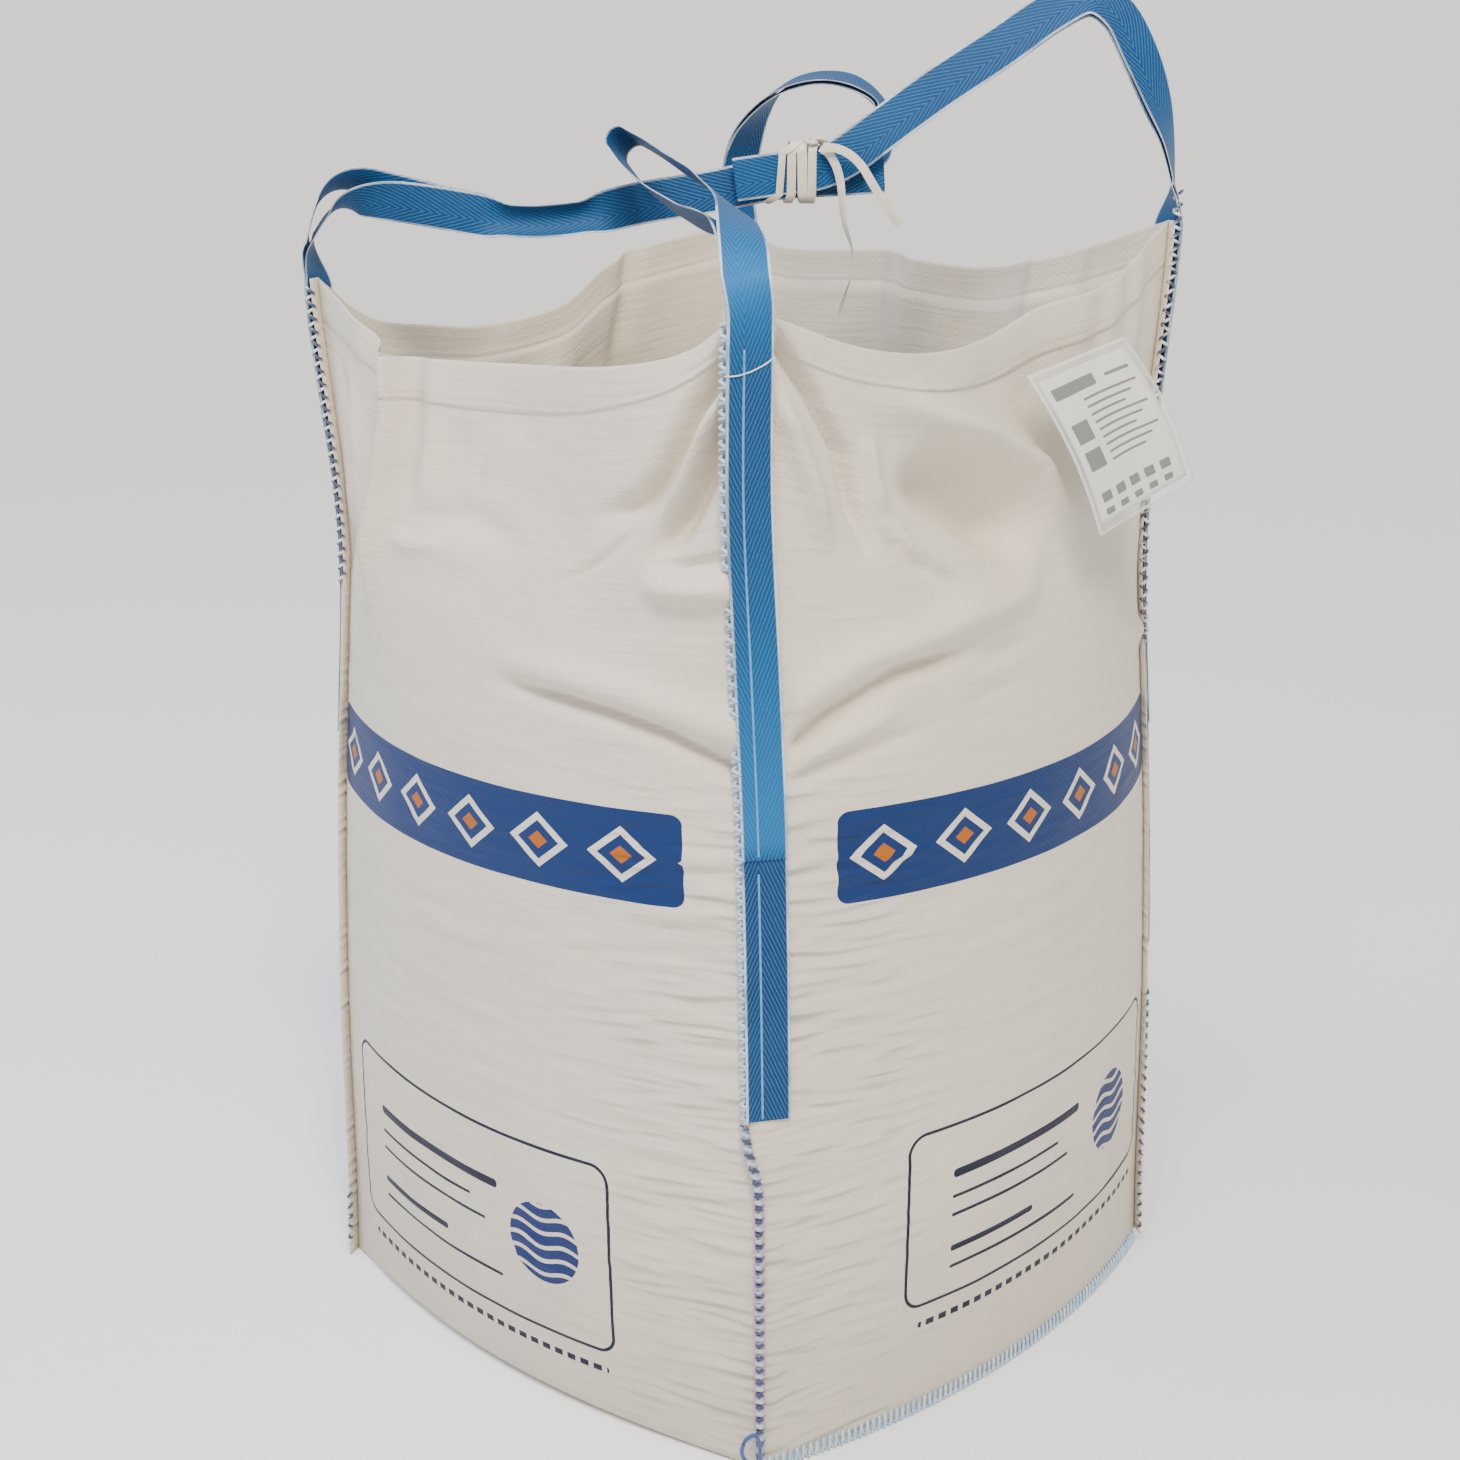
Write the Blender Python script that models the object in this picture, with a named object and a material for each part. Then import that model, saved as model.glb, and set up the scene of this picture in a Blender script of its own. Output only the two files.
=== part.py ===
"""Bulk bag of granite dust: a tall woven bag of U-panel make, filled to about two thirds with
stone dust, its four lifting loops gathered over the mouth and tied together with a flat tie.

Metres, +Z up. The origin is the middle of the base, on the floor. The side panels face +X and -X,
the one long piece that makes the front, the base and the rear faces -Y and +Y.

Places over the bag are often given as (across, toward, up): "across" runs along the diagonal from
the left corner (-X, -Y) to the right corner (+X, +Y), "toward" runs along the other diagonal,
from the back corner (-X, +Y) to the near corner (+X, -Y).
"""
from math import cos, pi, sin, sqrt

import bmesh
import bpy
from mathutils import Vector

# Driving dimensions of the bag
TALL = 1.310                # corner seam, from the floor to the rim
CLOTH = 0.0012              # thickness of the woven fabric
GAP = 0.0004                # clear space between pieces that touch
ROLL = 0.020                # radius of the fold between base and front or rear
FLANGE = 0.018              # seam allowance that stands out at each corner
TUCK = 0.009                # how far a face ends short of the seam, under the other's allowance
HALF_FACE = 0.360           # half the width of a face, as its chord
COLUMNS = 14                # facets across each face
BASE_ROWS = 10              # facets of the base from front to rear
FILL = 0.800                # height of the dust where it meets the fabric
MOUND = 0.055               # how far the dust rises in the middle
SLACK_FROM = 0.80           # height from which the cloth hangs slack
RIM_FROM = 0.85             # height from which the cloth drops or rises towards its rim
SHARP = 0.6                 # folds over this angle, in radians, are shaded sharp

# The filling
CORNER_SHARE = 1.25         # how much further the filling stays from a corner than from a face
FOOT_INSET = 0.004          # how much further it stays from the roll between base and walls
FOOT_SCALE = 0.955          # width of its flat foot, as a share of its width over the roll
MOUND_RINGS = [(.86, .25), (.62, .62), (.34, .90)]     # width and rise, as shares
HEAPS = 3                   # low heaps around the mound
HEAP_HEIGHT = 0.010

# Webbing of the lifting loops
WEB_WIDTH = 0.050
WEB_THICK = 0.0018
WEB_SIDE = WEB_WIDTH - FLANGE   # the part of the webbing that lies over the panel
OUTER_END = 0.735           # lower end of the outer leg
INNER_END = 0.437           # lower end of the leg under it
RIM_EASE = 0.0026           # how far the webbing stands off the slack cloth near the rim
EASE_REACH = 0.25           # height over which it comes to stand off
SHORTEST = 0.020            # shortest stretch of webbing between two sections
RIDGE_STEPS = 4             # places across a panel where the webbing is kept clear of it
ROUTE_STEPS = 4             # sections for each point of a loop's route
JOIN_STEPS = 6              # facets from the sewn part of a leg to its free part
TURN_STEPS = 6              # facets of the bend at a loop's end

# Distance of the corner seams from the axis, and bulge of each face, by height
SEAM_RADIUS = [(0, .528), (.10, .525), (.36, .522), (.55, .515), (.70, .507), (.82, .498),
               (.95, .489), (1.05, .490), (1.15, .498), (1.25, .507), (1.31, .510)]
BULGE = [(0, .060), (.05, .070), (.15, .080), (.36, .088), (.55, .098), (.70, .105),
         (.82, .108), (.95, .100), (1.05, .075), (1.15, .045), (1.25, .025), (1.31, .018)]
NEAR_DRIFT = [(0, .003), (.44, .002), (.75, -.002), (.92, -.008), (1.12, -.016), (1.31, -.015)]
HEIGHTS = [0, .004, .012, .025, .06, .14, .25, .36, .48, .60, .70, FILL, .88, .96, 1.04, 1.11,
           1.17, 1.22, 1.265, TALL]

# Rim of each face, as height by place across the face, -1 to 1 counter-clockwise seen from above
RIM = {
    "front": [(-1, 1.298), (-.68, 1.258), (-.53, 1.234), (-.26, 1.228), (.25, 1.236),
              (.60, 1.249), (.83, 1.271), (1, 1.313)],
    "right": [(-1, 1.313), (-.88, 1.302), (-.67, 1.273), (-.45, 1.255), (-.21, 1.248),
              (.03, 1.256), (.28, 1.281), (.57, 1.299), (.80, 1.330), (1, 1.358)],
    "rear": [(-1, 1.358), (-.79, 1.335), (-.62, 1.316), (-.37, 1.294), (-.12, 1.278),
             (.18, 1.294), (.42, 1.292), (.80, 1.288), (1, 1.319)],
    "left": [(-1, 1.319), (-.84, 1.308), (-.56, 1.293), (-.30, 1.271), (-.10, 1.230),
             (.19, 1.212), (.47, 1.222), (.75, 1.241), (1, 1.298)],
}
# Ripple of each rim in plan: outward bulge by place across the face
RIPPLE = {
    "front": [(-1, 0), (-.75, .012), (-.50, .040), (-.25, .012), (.10, -.004), (.60, .010), (1, 0)],
    "right": [(-1, 0), (-.60, .016), (-.20, .006), (.20, -.006), (.55, .020), (.75, .004), (1, 0)],
    "rear": [(-1, 0), (-.50, .010), (-.15, .030), (.05, -.010), (.50, .012), (1, 0)],
    "left": [(-1, 0), (-.60, .006), (-.20, -.016), (.20, .020), (.60, .012), (1, 0)],
}
# Each face runs from one corner to the next, counter-clockwise seen from above
FACES = {
    "front": ("left", "near"),
    "right": ("near", "right"),
    "rear": ("right", "back"),
    "left": ("back", "left"),
}
DIAGONAL = sqrt(0.5)
FREE_ROW = 1                # the row of heights from which the rear's seam allowances start


def spot(across, toward, up):
    """World point of a place given along the two diagonals of the bag."""
    return Vector(((across + toward) * DIAGONAL, (across - toward) * DIAGONAL, up))


CORNER_WAYS = {"near": (0, 1), "right": (1, 0), "back": (0, -1), "left": (-1, 0)}


def through(points, x):
    """A smooth curve through (place, value) points, by cubic pieces with level-headed slopes."""
    if x <= points[0][0]:
        return points[0][1]
    if x >= points[-1][0]:
        return points[-1][1]
    slopes = []
    for i in range(len(points)):
        low = points[max(i - 1, 0)]
        high = points[min(i + 1, len(points) - 1)]
        slopes.append((high[1] - low[1]) / (high[0] - low[0]))
    for i in range(len(points) - 1):
        x0, y0 = points[i]
        x1, y1 = points[i + 1]
        if x <= x1:
            span = x1 - x0
            t = (x - x0) / span
            return (y0 * (1 + 2 * t) * (1 - t) ** 2 + y1 * t * t * (3 - 2 * t)
                    + span * slopes[i] * t * (1 - t) ** 2 - span * slopes[i + 1] * t * t * (1 - t))
    return points[-1][1]


def ease(t):
    t = min(max(t, 0.0), 1.0)
    return t * t * (3 - 2 * t)


def seam(corner, height):
    """Where a corner seam passes at a height, in plan."""
    radius = through(SEAM_RADIUS, height)
    across, toward = CORNER_WAYS[corner]
    drift = through(NEAR_DRIFT, height) if corner == "near" else 0.0
    return spot(radius * across + drift, radius * toward, 0)


def face_point(face, place, height):
    """Outside surface of the bag: place runs -1 to 1 across the face, height is along the seam."""
    start, stop = (seam(corner, height) for corner in FACES[face])
    along = (stop - start).normalized()
    outward = along.cross(Vector((0, 0, 1)))
    hollow = 1 - place * place
    slack = ease((height - SLACK_FROM) / (TALL - SLACK_FROM))
    bulge = through(BULGE, height) * hollow + slack * through(RIPPLE[face], place)
    if face in ("front", "rear") and height < ROLL:
        # The roll fades out just before the corners.
        reach = ROLL * (1 - place ** 4)
        rest = ROLL - height
        bulge -= reach * (1 - sqrt(max(1 - (rest / ROLL) ** 2, 0.0)))
    point = start.lerp(stop, (place + 1) / 2) + outward * bulge
    drop = through(RIM[face], place) - TALL
    point.z = height + ease((height - RIM_FROM) / (TALL - RIM_FROM)) * drop
    return point


def face_normal(face, place, height):
    """Outward direction of the surface, level enough to stay clear of the folds."""
    step = 0.02
    start = face_point(face, max(place - step, -1), height)
    across = face_point(face, min(place + step, 1), height) - start
    across.z = 0
    return across.normalized().cross(Vector((0, 0, 1)))


def places(first=-1.0, last=1.0):
    return [first + (last - first) * i / COLUMNS for i in range(COLUMNS + 1)]


# Material of each kind of piece: colour (linear), roughness, metallic
FINISHES = {
    "woven fabric": ((0.72, 0.68, 0.62), 0.72, 0.0),
    "granite dust": ((0.36, 0.34, 0.32), 0.95, 0.0),
    "blue webbing": ((0.05, 0.20, 0.46), 0.80, 0.0),
    "flat tie": ((0.80, 0.77, 0.70), 0.75, 0.0),
    "clear sleeve": ((0.85, 0.86, 0.84), 0.30, 0.0),
}


def finish(name):
    material = bpy.data.materials.get(name)
    if material is None:
        material = bpy.data.materials.new(name)
        material.use_nodes = True
        shader = material.node_tree.nodes["Principled BSDF"]
        colour, roughness, metallic = FINISHES[name]
        shader.inputs["Base Color"].default_value = (*colour, 1)
        shader.inputs["Roughness"].default_value = roughness
        shader.inputs["Metallic"].default_value = metallic
    return material


def add_piece(name, shape, finish_name):
    """Make an object of a bmesh, with its faces shaded smooth except over sharp folds."""
    mesh = bpy.data.meshes.new(name)
    shape.to_mesh(mesh)
    shape.free()
    piece = bpy.data.objects.new(name, mesh)
    bpy.context.scene.collection.objects.link(piece)
    mesh.materials.append(finish(finish_name))
    mesh.shade_smooth()
    mesh.set_sharp_from_angle(angle=SHARP)
    return piece


def thicken(piece, thickness):
    """Give a sheet its thickness, on the inner side of its surface."""
    solid = piece.modifiers.new("thickness", "SOLIDIFY")
    solid.thickness = thickness
    solid.offset = -1
    solid.use_even_offset = True


def sheet(grid):
    """Surface through a grid of points; rows run up, columns run counter-clockwise."""
    shape = bmesh.new()
    rows = [[shape.verts.new(point) for point in row] for row in grid]
    for low, high in zip(rows, rows[1:]):
        for i in range(len(low) - 1):
            shape.faces.new((low[i], low[i + 1], high[i + 1], high[i]))
    return shape


# Direction in which each corner's seam allowance stands out, as (across, toward)
FLANGE_WAYS = {"near": (-1.0, -.02), "left": (-.37, .93), "right": (.21, .98), "back": (-.98, -.20)}


def flange_point(corner, height, face, place, reach):
    """A point on the seam allowance, at a distance from the seam."""
    across, toward = FLANGE_WAYS[corner]
    way = spot(across, toward, 0).normalized()
    return face_point(face, place, height) + way * reach


def add_side_panel(name, face, flange_at_start):
    """Side panel with the seam allowance that it carries at one edge."""
    corner = FACES[face][0 if flange_at_start else 1]
    edge = 1 - TUCK / HALF_FACE
    first, last = (-1, edge) if flange_at_start else (-edge, 1)
    grid = []
    for height in HEIGHTS:
        row = [face_point(face, place, height) for place in places(first, last)]
        if flange_at_start:
            row.insert(0, flange_point(corner, height, face, -1, FLANGE))
        else:
            row.append(flange_point(corner, height, face, 1, FLANGE))
        grid.append(row)
    piece = add_piece(name, sheet(grid), "woven fabric")
    thicken(piece, CLOTH)
    return piece


def add_u_panel():
    """Front, base and rear in one piece, with the rear's seam allowances."""
    edge = 1 - TUCK / HALF_FACE
    shape = bmesh.new()

    def wall(face, heights):
        return [[shape.verts.new(face_point(face, place, height)) for place in places(-edge, edge)]
                for height in heights]

    front = wall("front", HEIGHTS)
    rear = wall("rear", HEIGHTS)
    for row, height in zip(rear, HEIGHTS):
        for vert, place in ((row[0], -1), (row[-1], 1)):
            if height >= HEIGHTS[FREE_ROW]:
                vert.co = face_point("rear", place, height)
    for rows in (front, rear):
        for low, high in zip(rows, rows[1:]):
            for i in range(COLUMNS):
                shape.faces.new((low[i], low[i + 1], high[i + 1], high[i]))
    for last, corner, place in ((0, "right", -1), (-1, "back", 1)):
        strip = [shape.verts.new(flange_point(corner, height, "rear", place, FLANGE))
                 for height in HEIGHTS[FREE_ROW:]]
        inner = [row[last] for row in rear[FREE_ROW:]]
        for i in range(len(strip) - 1):
            quad = (strip[i], inner[i], inner[i + 1], strip[i + 1])
            shape.faces.new(quad if last == 0 else quad[::-1])
    # The base is stretched between the two lower edges and the lower edges of the side panels.
    # It reaches nearly under the side panels all the way, and draws in only at its ends.
    previous = front[0]
    for step in range(1, BASE_ROWS + 1):
        t = step / BASE_ROWS
        if step == BASE_ROWS:
            current = rear[0][::-1]
        else:
            current = []
            for i, place in enumerate(places(-edge, edge)):
                start = front[0][i].co
                stop = rear[0][COLUMNS - i].co
                straight = start.lerp(stop, t)
                swell = through(BULGE, 0) * (1 - (2 * t - 1) ** 2)
                reach = (TUCK - CLOTH - 2 * GAP) * (1 - (2 * t - 1) ** 8)
                straight.x += (swell + reach) * place / edge
                current.append(shape.verts.new(straight))
        for i in range(COLUMNS):
            shape.faces.new((previous[i], current[i], current[i + 1], previous[i + 1]))
        previous = current
    piece = add_piece("u_panel", shape, "woven fabric")
    thicken(piece, CLOTH)
    return piece


def add_dust():
    """The filling: it follows the inside of the bag and rises to a low mound."""
    inset = CLOTH + 3 * GAP
    shape = bmesh.new()
    rings = []
    for height in [h for h in HEIGHTS if HEIGHTS[2] <= h <= FILL]:
        ring = []
        for face in FACES:
            for place in places()[:-1]:
                inward = -face_normal(face, place, height)
                if place == -1:
                    start = seam(FACES[face][0], height)
                    inward = -start.normalized() * CORNER_SHARE
                depth = inset + (FOOT_INSET if height < ROLL else 0)
                ring.append(shape.verts.new(face_point(face, place, height) + inward * depth))
        rings.append(ring)
    edge = rings[-1]
    foot = [shape.verts.new(vert.co * FOOT_SCALE) for vert in rings[0]]
    for vert in foot:
        vert.co.z = CLOTH + 2 * GAP
    rings.insert(0, foot)
    count = len(foot)
    for share, rise in MOUND_RINGS:
        ring = []
        for i, vert in enumerate(edge):
            heap = HEAP_HEIGHT * sin(HEAPS * i * 2 * pi / count + 7 * share)
            point = vert.co.copy() * share
            point.z = FILL + MOUND * rise + heap
            ring.append(shape.verts.new(point))
        rings.append(ring)
    for low, high in zip(rings, rings[1:]):
        for i in range(count):
            j = (i + 1) % count
            shape.faces.new((low[i], low[j], high[j], high[i]))
    peak = shape.verts.new((0.01, -0.01, FILL + MOUND))
    for i in range(count):
        shape.faces.new((rings[-1][i], rings[-1][(i + 1) % count], peak))
    shape.faces.new(foot[::-1])
    return add_piece("granite_dust", shape, "granite dust")


# Route of each loop over the mouth, from its corner to its end: (across, toward, up), then the
# way the outer leg faces, then half the space between the two legs
LOOPS = {
    "near": [
        ((-.010, .502, 1.350), (0, 1, .10), .0016),
        ((-.012, .470, 1.374), (.10, .80, .50), .0030),
        ((-.016, .418, 1.386), (.30, .50, .75), .0060),
        ((-.022, .350, 1.391), (.50, .20, .80), .0100),
        ((-.033, .280, 1.392), (.60, .05, .75), .0140),
        ((-.047, .210, 1.393), (.66, .05, .70), .0180),
        ((-.064, .150, 1.401), (.68, .00, .68), .0210),
        ((-.091, .100, 1.415), (.68, .00, .68), .0210),
        ((-.117, .060, 1.433), (.68, .00, .68), .0190),
        ((-.137, .035, 1.449), (.68, .00, .68), .0140),
    ],
    "left": [
        ((-.516, .000, 1.345), (-1, .10, .10), .0030),
        ((-.496, .006, 1.380), (-.85, .05, .50), .0090),
        ((-.462, .012, 1.398), (-.30, -.60, .75), .0150),
        ((-.415, .012, 1.392), (.05, -.95, .30), .0130),
        ((-.350, .010, 1.378), (.05, -1, .05), .0060),
        ((-.270, .006, 1.364), (.05, -1, .00), .0020),
        ((-.200, .002, 1.366), (.05, -1, .00), .0016),
        ((-.120, -.006, 1.382), (.10, -1, .00), .0016),
        ((-.040, -.008, 1.394), (.10, -1, .00), .0016),
        ((.040, -.006, 1.409), (.05, -1, .00), .0016),
        ((.110, -.005, 1.413), (.00, -1, .00), .0016),
        ((.165, -.005, 1.416), (.00, -1, .00), .0022),
    ],
    "right": [
        ((.512, .000, 1.400), (1, .20, .15), .0016),
        ((.503, -.002, 1.450), (.90, .45, .20), .0024),
        ((.487, -.003, 1.500), (.60, .80, .25), .0030),
        ((.466, -.004, 1.550), (.35, .95, .20), .0030),
        ((.440, -.006, 1.594), (.25, .90, .45), .0030),
        ((.405, -.008, 1.612), (.00, .80, .65), .0030),
        ((.362, -.006, 1.596), (-.20, .90, .45), .0026),
        ((.300, .000, 1.556), (-.15, .95, .25), .0016),
        ((.230, .006, 1.512), (-.10, 1, .20), .0016),
        ((.170, .008, 1.470), (-.10, 1, .20), .0016),
        ((.124, .009, 1.437), (-.05, 1, .10), .0016),
        ((.090, .009, 1.422), (.00, 1, .00), .0016),
        ((.060, .009, 1.418), (.00, 1, .00), .0016),
        ((.030, .009, 1.414), (.00, 1, .00), .0016),
        ((-.008, .009, 1.409), (.00, 1, .00), .0016),
    ],
    "back": [
        ((.004, -.508, 1.365), (0, -1, .10), .0016),
        ((.012, -.500, 1.415), (-.30, -.90, .20), .0022),
        ((.028, -.470, 1.462), (-.60, -.60, .50), .0026),
        ((.052, -.410, 1.495), (-.65, -.30, .70), .0026),
        ((.088, -.325, 1.514), (-.45, -.10, .90), .0026),
        ((.128, -.235, 1.517), (-.10, .05, 1), .0026),
        ((.160, -.150, 1.500), (.45, .15, .85), .0026),
        ((.174, -.105, 1.474), (.90, .20, .35), .0024),
        ((.166, -.072, 1.447), (.75, .55, .25), .0020),
        ((.140, -.044, 1.431), (.40, .90, .10), .0016),
        ((.112, -.028, 1.422), (.10, 1, .00), .0016),
        ((.082, -.0215, 1.418), (.00, 1, .00), .0016),
        ((.045, -.0215, 1.415), (.00, 1, .00), .0016),
    ],
}
# The face that carries each corner's webbing, and the end of that face at the corner
WEB_FACES = {"near": ("right", -1), "left": ("left", 1), "right": ("rear", -1), "back": ("rear", 1)}


def corners_of(middle, wide, thick):
    """Four corners of a flat band's cross-section."""
    return [middle - wide + thick, middle + wide + thick,
            middle + wide - thick, middle - wide - thick]


def square(ahead, facing):
    """The part of a facing that is square to the way ahead."""
    return (facing - ahead * facing.dot(ahead)).normalized()


def section(middle, ahead, facing):
    """Four corners of the webbing's cross-section."""
    ahead = ahead.normalized()
    facing = square(ahead, facing)
    return corners_of(middle, ahead.cross(facing) * (WEB_WIDTH / 2), facing * (WEB_THICK / 2))


# A leg of a loop is a list of stations, each a middle, the way ahead and the way it faces.


def sewn_leg(corner, layer, low):
    """Stations of a leg that is sewn down a corner, from its lower end up to the rim."""
    face, place = WEB_FACES[corner]
    inward_step = -place * WEB_SIDE / HALF_FACE
    heights = [low] + [h for h in HEIGHTS if low + SHORTEST < h]
    up = Vector((0, 0, 1))
    stations = []
    for height in heights:
        tip = flange_point(corner, height, face, place, FLANGE)
        side = face_point(face, place + inward_step, height)
        outward = (side - tip).cross(up).normalized()
        if outward.dot(Vector((tip.x, tip.y, 0))) < 0:
            outward = -outward
        ridge = [face_point(face, place + inward_step * k / RIDGE_STEPS, height)
                 for k in range(RIDGE_STEPS)]
        proud = max([(point - tip).dot(outward) for point in ridge] + [0.0])
        loose = RIM_EASE * ease((height - SLACK_FROM) / EASE_REACH)
        start = proud + 2 * GAP + loose + (WEB_THICK + GAP) * (1 - layer)
        stations.append(((tip + side) / 2 + outward * (start + WEB_THICK / 2), up, outward))
    return stations


def smooth_route(route, count):
    """Evenly read a smooth curve through the route's points, with its facing and its gap."""
    values = [[*spot(*place), *(spot(*facing)), gap] for place, facing, gap in route]
    ends = [values[0]] + values + [values[-1]]
    result = []
    for k in range(count + 1):
        t = k / count * (len(values) - 1)
        i = min(int(t), len(values) - 2)
        t -= i
        before, start, stop, after = ends[i], ends[i + 1], ends[i + 2], ends[i + 3]
        result.append([
            0.5 * (2 * b + (c - a) * t + (2 * a - 5 * b + 4 * c - d) * t ** 2
                   + (3 * b - a - 3 * c + d) * t ** 3)
            for a, b, c, d in zip(before, start, stop, after)])
    return result


def free_leg(route, side):
    """Stations of a leg along the route, on the side of it that the leg faces (1) or not (-1)."""
    middles = [Vector(value[:3]) for value in route]
    stations = []
    for i, value in enumerate(route):
        ahead = (middles[min(i + 1, len(route) - 1)] - middles[max(i - 1, 0)]).normalized()
        facing = square(ahead, Vector(value[3:6]))
        stations.append((middles[i] + facing * side * value[6], ahead, facing))
    return stations


def joined(sewn, free):
    """The sewn and the free stations of a leg, with a smooth turn from one to the other."""
    start, ahead, facing = sewn[-1]
    stop, next_ahead, next_facing = free[0]
    reach = (stop - start).length
    between = []
    for k in range(1, JOIN_STEPS):
        t = k / JOIN_STEPS
        middle = start * (1 + 2 * t) * (1 - t) ** 2 + stop * t * t * (3 - 2 * t)
        middle += (ahead * (1 - t) - next_ahead * t) * reach * t * (1 - t)
        between.append((middle, ahead.lerp(next_ahead, t), facing.lerp(next_facing, t)))
    return sewn + between + free


def add_webbing(shape, rings, rising):
    """Join the webbing's sections by triangles.

    Both faces of both legs fold along the same diagonal, so that a twisted stretch of the webbing
    keeps its thickness. The first sections, as many as rising says, belong to the leg that rises.
    """
    verts = [[shape.verts.new(point) for point in ring] for ring in rings]
    for k, (low, high) in enumerate(zip(verts, verts[1:])):
        for i in range(4):
            j = (i + 1) % 4
            if (k < rising) == (i < 2):
                shape.faces.new((low[i], low[j], high[j]))
                shape.faces.new((low[i], high[j], high[i]))
            else:
                shape.faces.new((low[i], low[j], high[i]))
                shape.faces.new((low[j], high[j], high[i]))
    shape.faces.new(verts[0][::-1])
    shape.faces.new(verts[-1])


def add_loop(corner):
    """One lifting loop: up the corner as the inner leg, over its end, and down as the outer leg."""
    route = smooth_route(LOOPS[corner], ROUTE_STEPS * (len(LOOPS[corner]) - 1))
    outer = joined(sewn_leg(corner, 0, OUTER_END), free_leg(route, 1))
    inner = joined(sewn_leg(corner, 1, INNER_END), free_leg(route, -1))
    end = (outer[-1][0] + inner[-1][0]) / 2
    half_gap = (outer[-1][0] - end).length
    ahead, facing = outer[-1][1:]
    bend = []
    for k in range(TURN_STEPS - 1, 0, -1):
        turn = pi * k / TURN_STEPS
        way = facing * cos(turn) + ahead * sin(turn)
        bend.append(section(end + way * half_gap, ahead * cos(turn) - facing * sin(turn), way))
    up = [section(*station)[::-1] for station in inner]
    down = [section(*station) for station in outer[::-1]]
    shape = bmesh.new()
    add_webbing(shape, up + bend + down, len(up))
    bmesh.ops.recalc_face_normals(shape, faces=shape.faces)
    return add_piece(f"lift_loop_{corner}", shape, "blue webbing")


# The flat tie around the gathered loops: (across, up) extents of its turns and their middle
TIE_FROM, TIE_TO = .052, .086
TIE_MIDDLE = (-.006, 1.417)     # toward, up
TIE_HOLE = (.0225, .0345)       # half the width and height of the bundle that it holds
TIE_ROUND = 0.012               # how round the turns go over the bundle's corners
TAPE_WIDTH = 0.010
TAPE_THICK = 0.0012
TAIL_FACING = (.25, 1)          # the way in which the tails face: across, toward
TAILS = {
    "tie_tail_long": [
        (.091, .0200, 1.446), (.101, .0235, 1.438), (.109, .0260, 1.424), (.1135, .0275, 1.408),
        (.1155, .0280, 1.392), (.117, .0280, 1.372), (.121, .0290, 1.352), (.127, .0300, 1.334),
        (.130, .0300, 1.316), (.127, .0300, 1.298), (.122, .0295, 1.282), (.1165, .0290, 1.266),
        (.113, .0290, 1.252)],
    "tie_tail_short": [
        (.093, .0320, 1.447), (.110, .0330, 1.445), (.126, .0345, 1.437), (.139, .0360, 1.424),
        (.149, .0370, 1.408), (.159, .0375, 1.392), (.171, .0380, 1.374), (.183, .0380, 1.358)],
}


def rounded_loop(half_wide, half_high, radius, steps=4):
    """Points of a rectangle with round corners, in (toward, up)."""
    points = []
    for quarter, (side, rise) in enumerate(((1, 1), (-1, 1), (-1, -1), (1, -1))):
        for k in range(steps + 1):
            turn = pi / 2 * (quarter + k / steps)
            points.append((side * (half_wide - radius) + radius * cos(turn),
                           rise * (half_high - radius) + radius * sin(turn)))
    return points


def add_tie_wraps():
    """The turns of the tie as one band around the loops."""
    shape = bmesh.new()
    rings = []
    thick = 2 * TAPE_THICK
    for grow, across in ((0, TIE_FROM), (thick, TIE_FROM), (thick, TIE_TO), (0, TIE_TO)):
        outline = rounded_loop(TIE_HOLE[0] + grow, TIE_HOLE[1] + grow, TIE_ROUND + grow)
        rings.append([shape.verts.new(spot(across, TIE_MIDDLE[0] + toward, TIE_MIDDLE[1] + up))
                      for toward, up in outline])
    count = len(rings[0])
    for k in range(4):
        low, high = rings[k], rings[(k + 1) % 4]
        for i in range(count):
            j = (i + 1) % count
            shape.faces.new((low[i], low[j], high[j], high[i]))
    bmesh.ops.recalc_face_normals(shape, faces=shape.faces)
    return add_piece("tie_wraps", shape, "flat tie")


def add_tail(name):
    """A free end of the tie: a flat tape that follows its points."""
    points = [spot(*point) for point in TAILS[name]]
    shape = bmesh.new()
    rings = []
    facing = spot(*TAIL_FACING, 0).normalized()
    for i, point in enumerate(points):
        ahead = (points[min(i + 1, len(points) - 1)] - points[max(i - 1, 0)]).normalized()
        wide = ahead.cross(facing).normalized() * (TAPE_WIDTH / 2)
        thick = wide.cross(ahead).normalized() * (TAPE_THICK / 2)
        rings.append([shape.verts.new(corner) for corner in corners_of(point, wide, thick)])
    for low, high in zip(rings, rings[1:]):
        for i in range(4):
            j = (i + 1) % 4
            shape.faces.new((low[i], low[j], high[j], high[i]))
    shape.faces.new(rings[0][::-1])
    shape.faces.new(rings[-1])
    bmesh.ops.recalc_face_normals(shape, faces=shape.faces)
    return add_piece(name, shape, "flat tie")


# The document sleeve: its upper edge is caught in the hem of the right face
SLEEVE_CORNERS = ((.412, .010, 1.222), (.412, .148, 1.246),
                  (.512, .200, 1.086), (.508, .060, 1.050))
SLEEVE_THICK = 0.0012
SLEEVE_ROWS = 6
SLEEVE_BOW = 0.010              # how far it bows out of the plane of its corners


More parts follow.
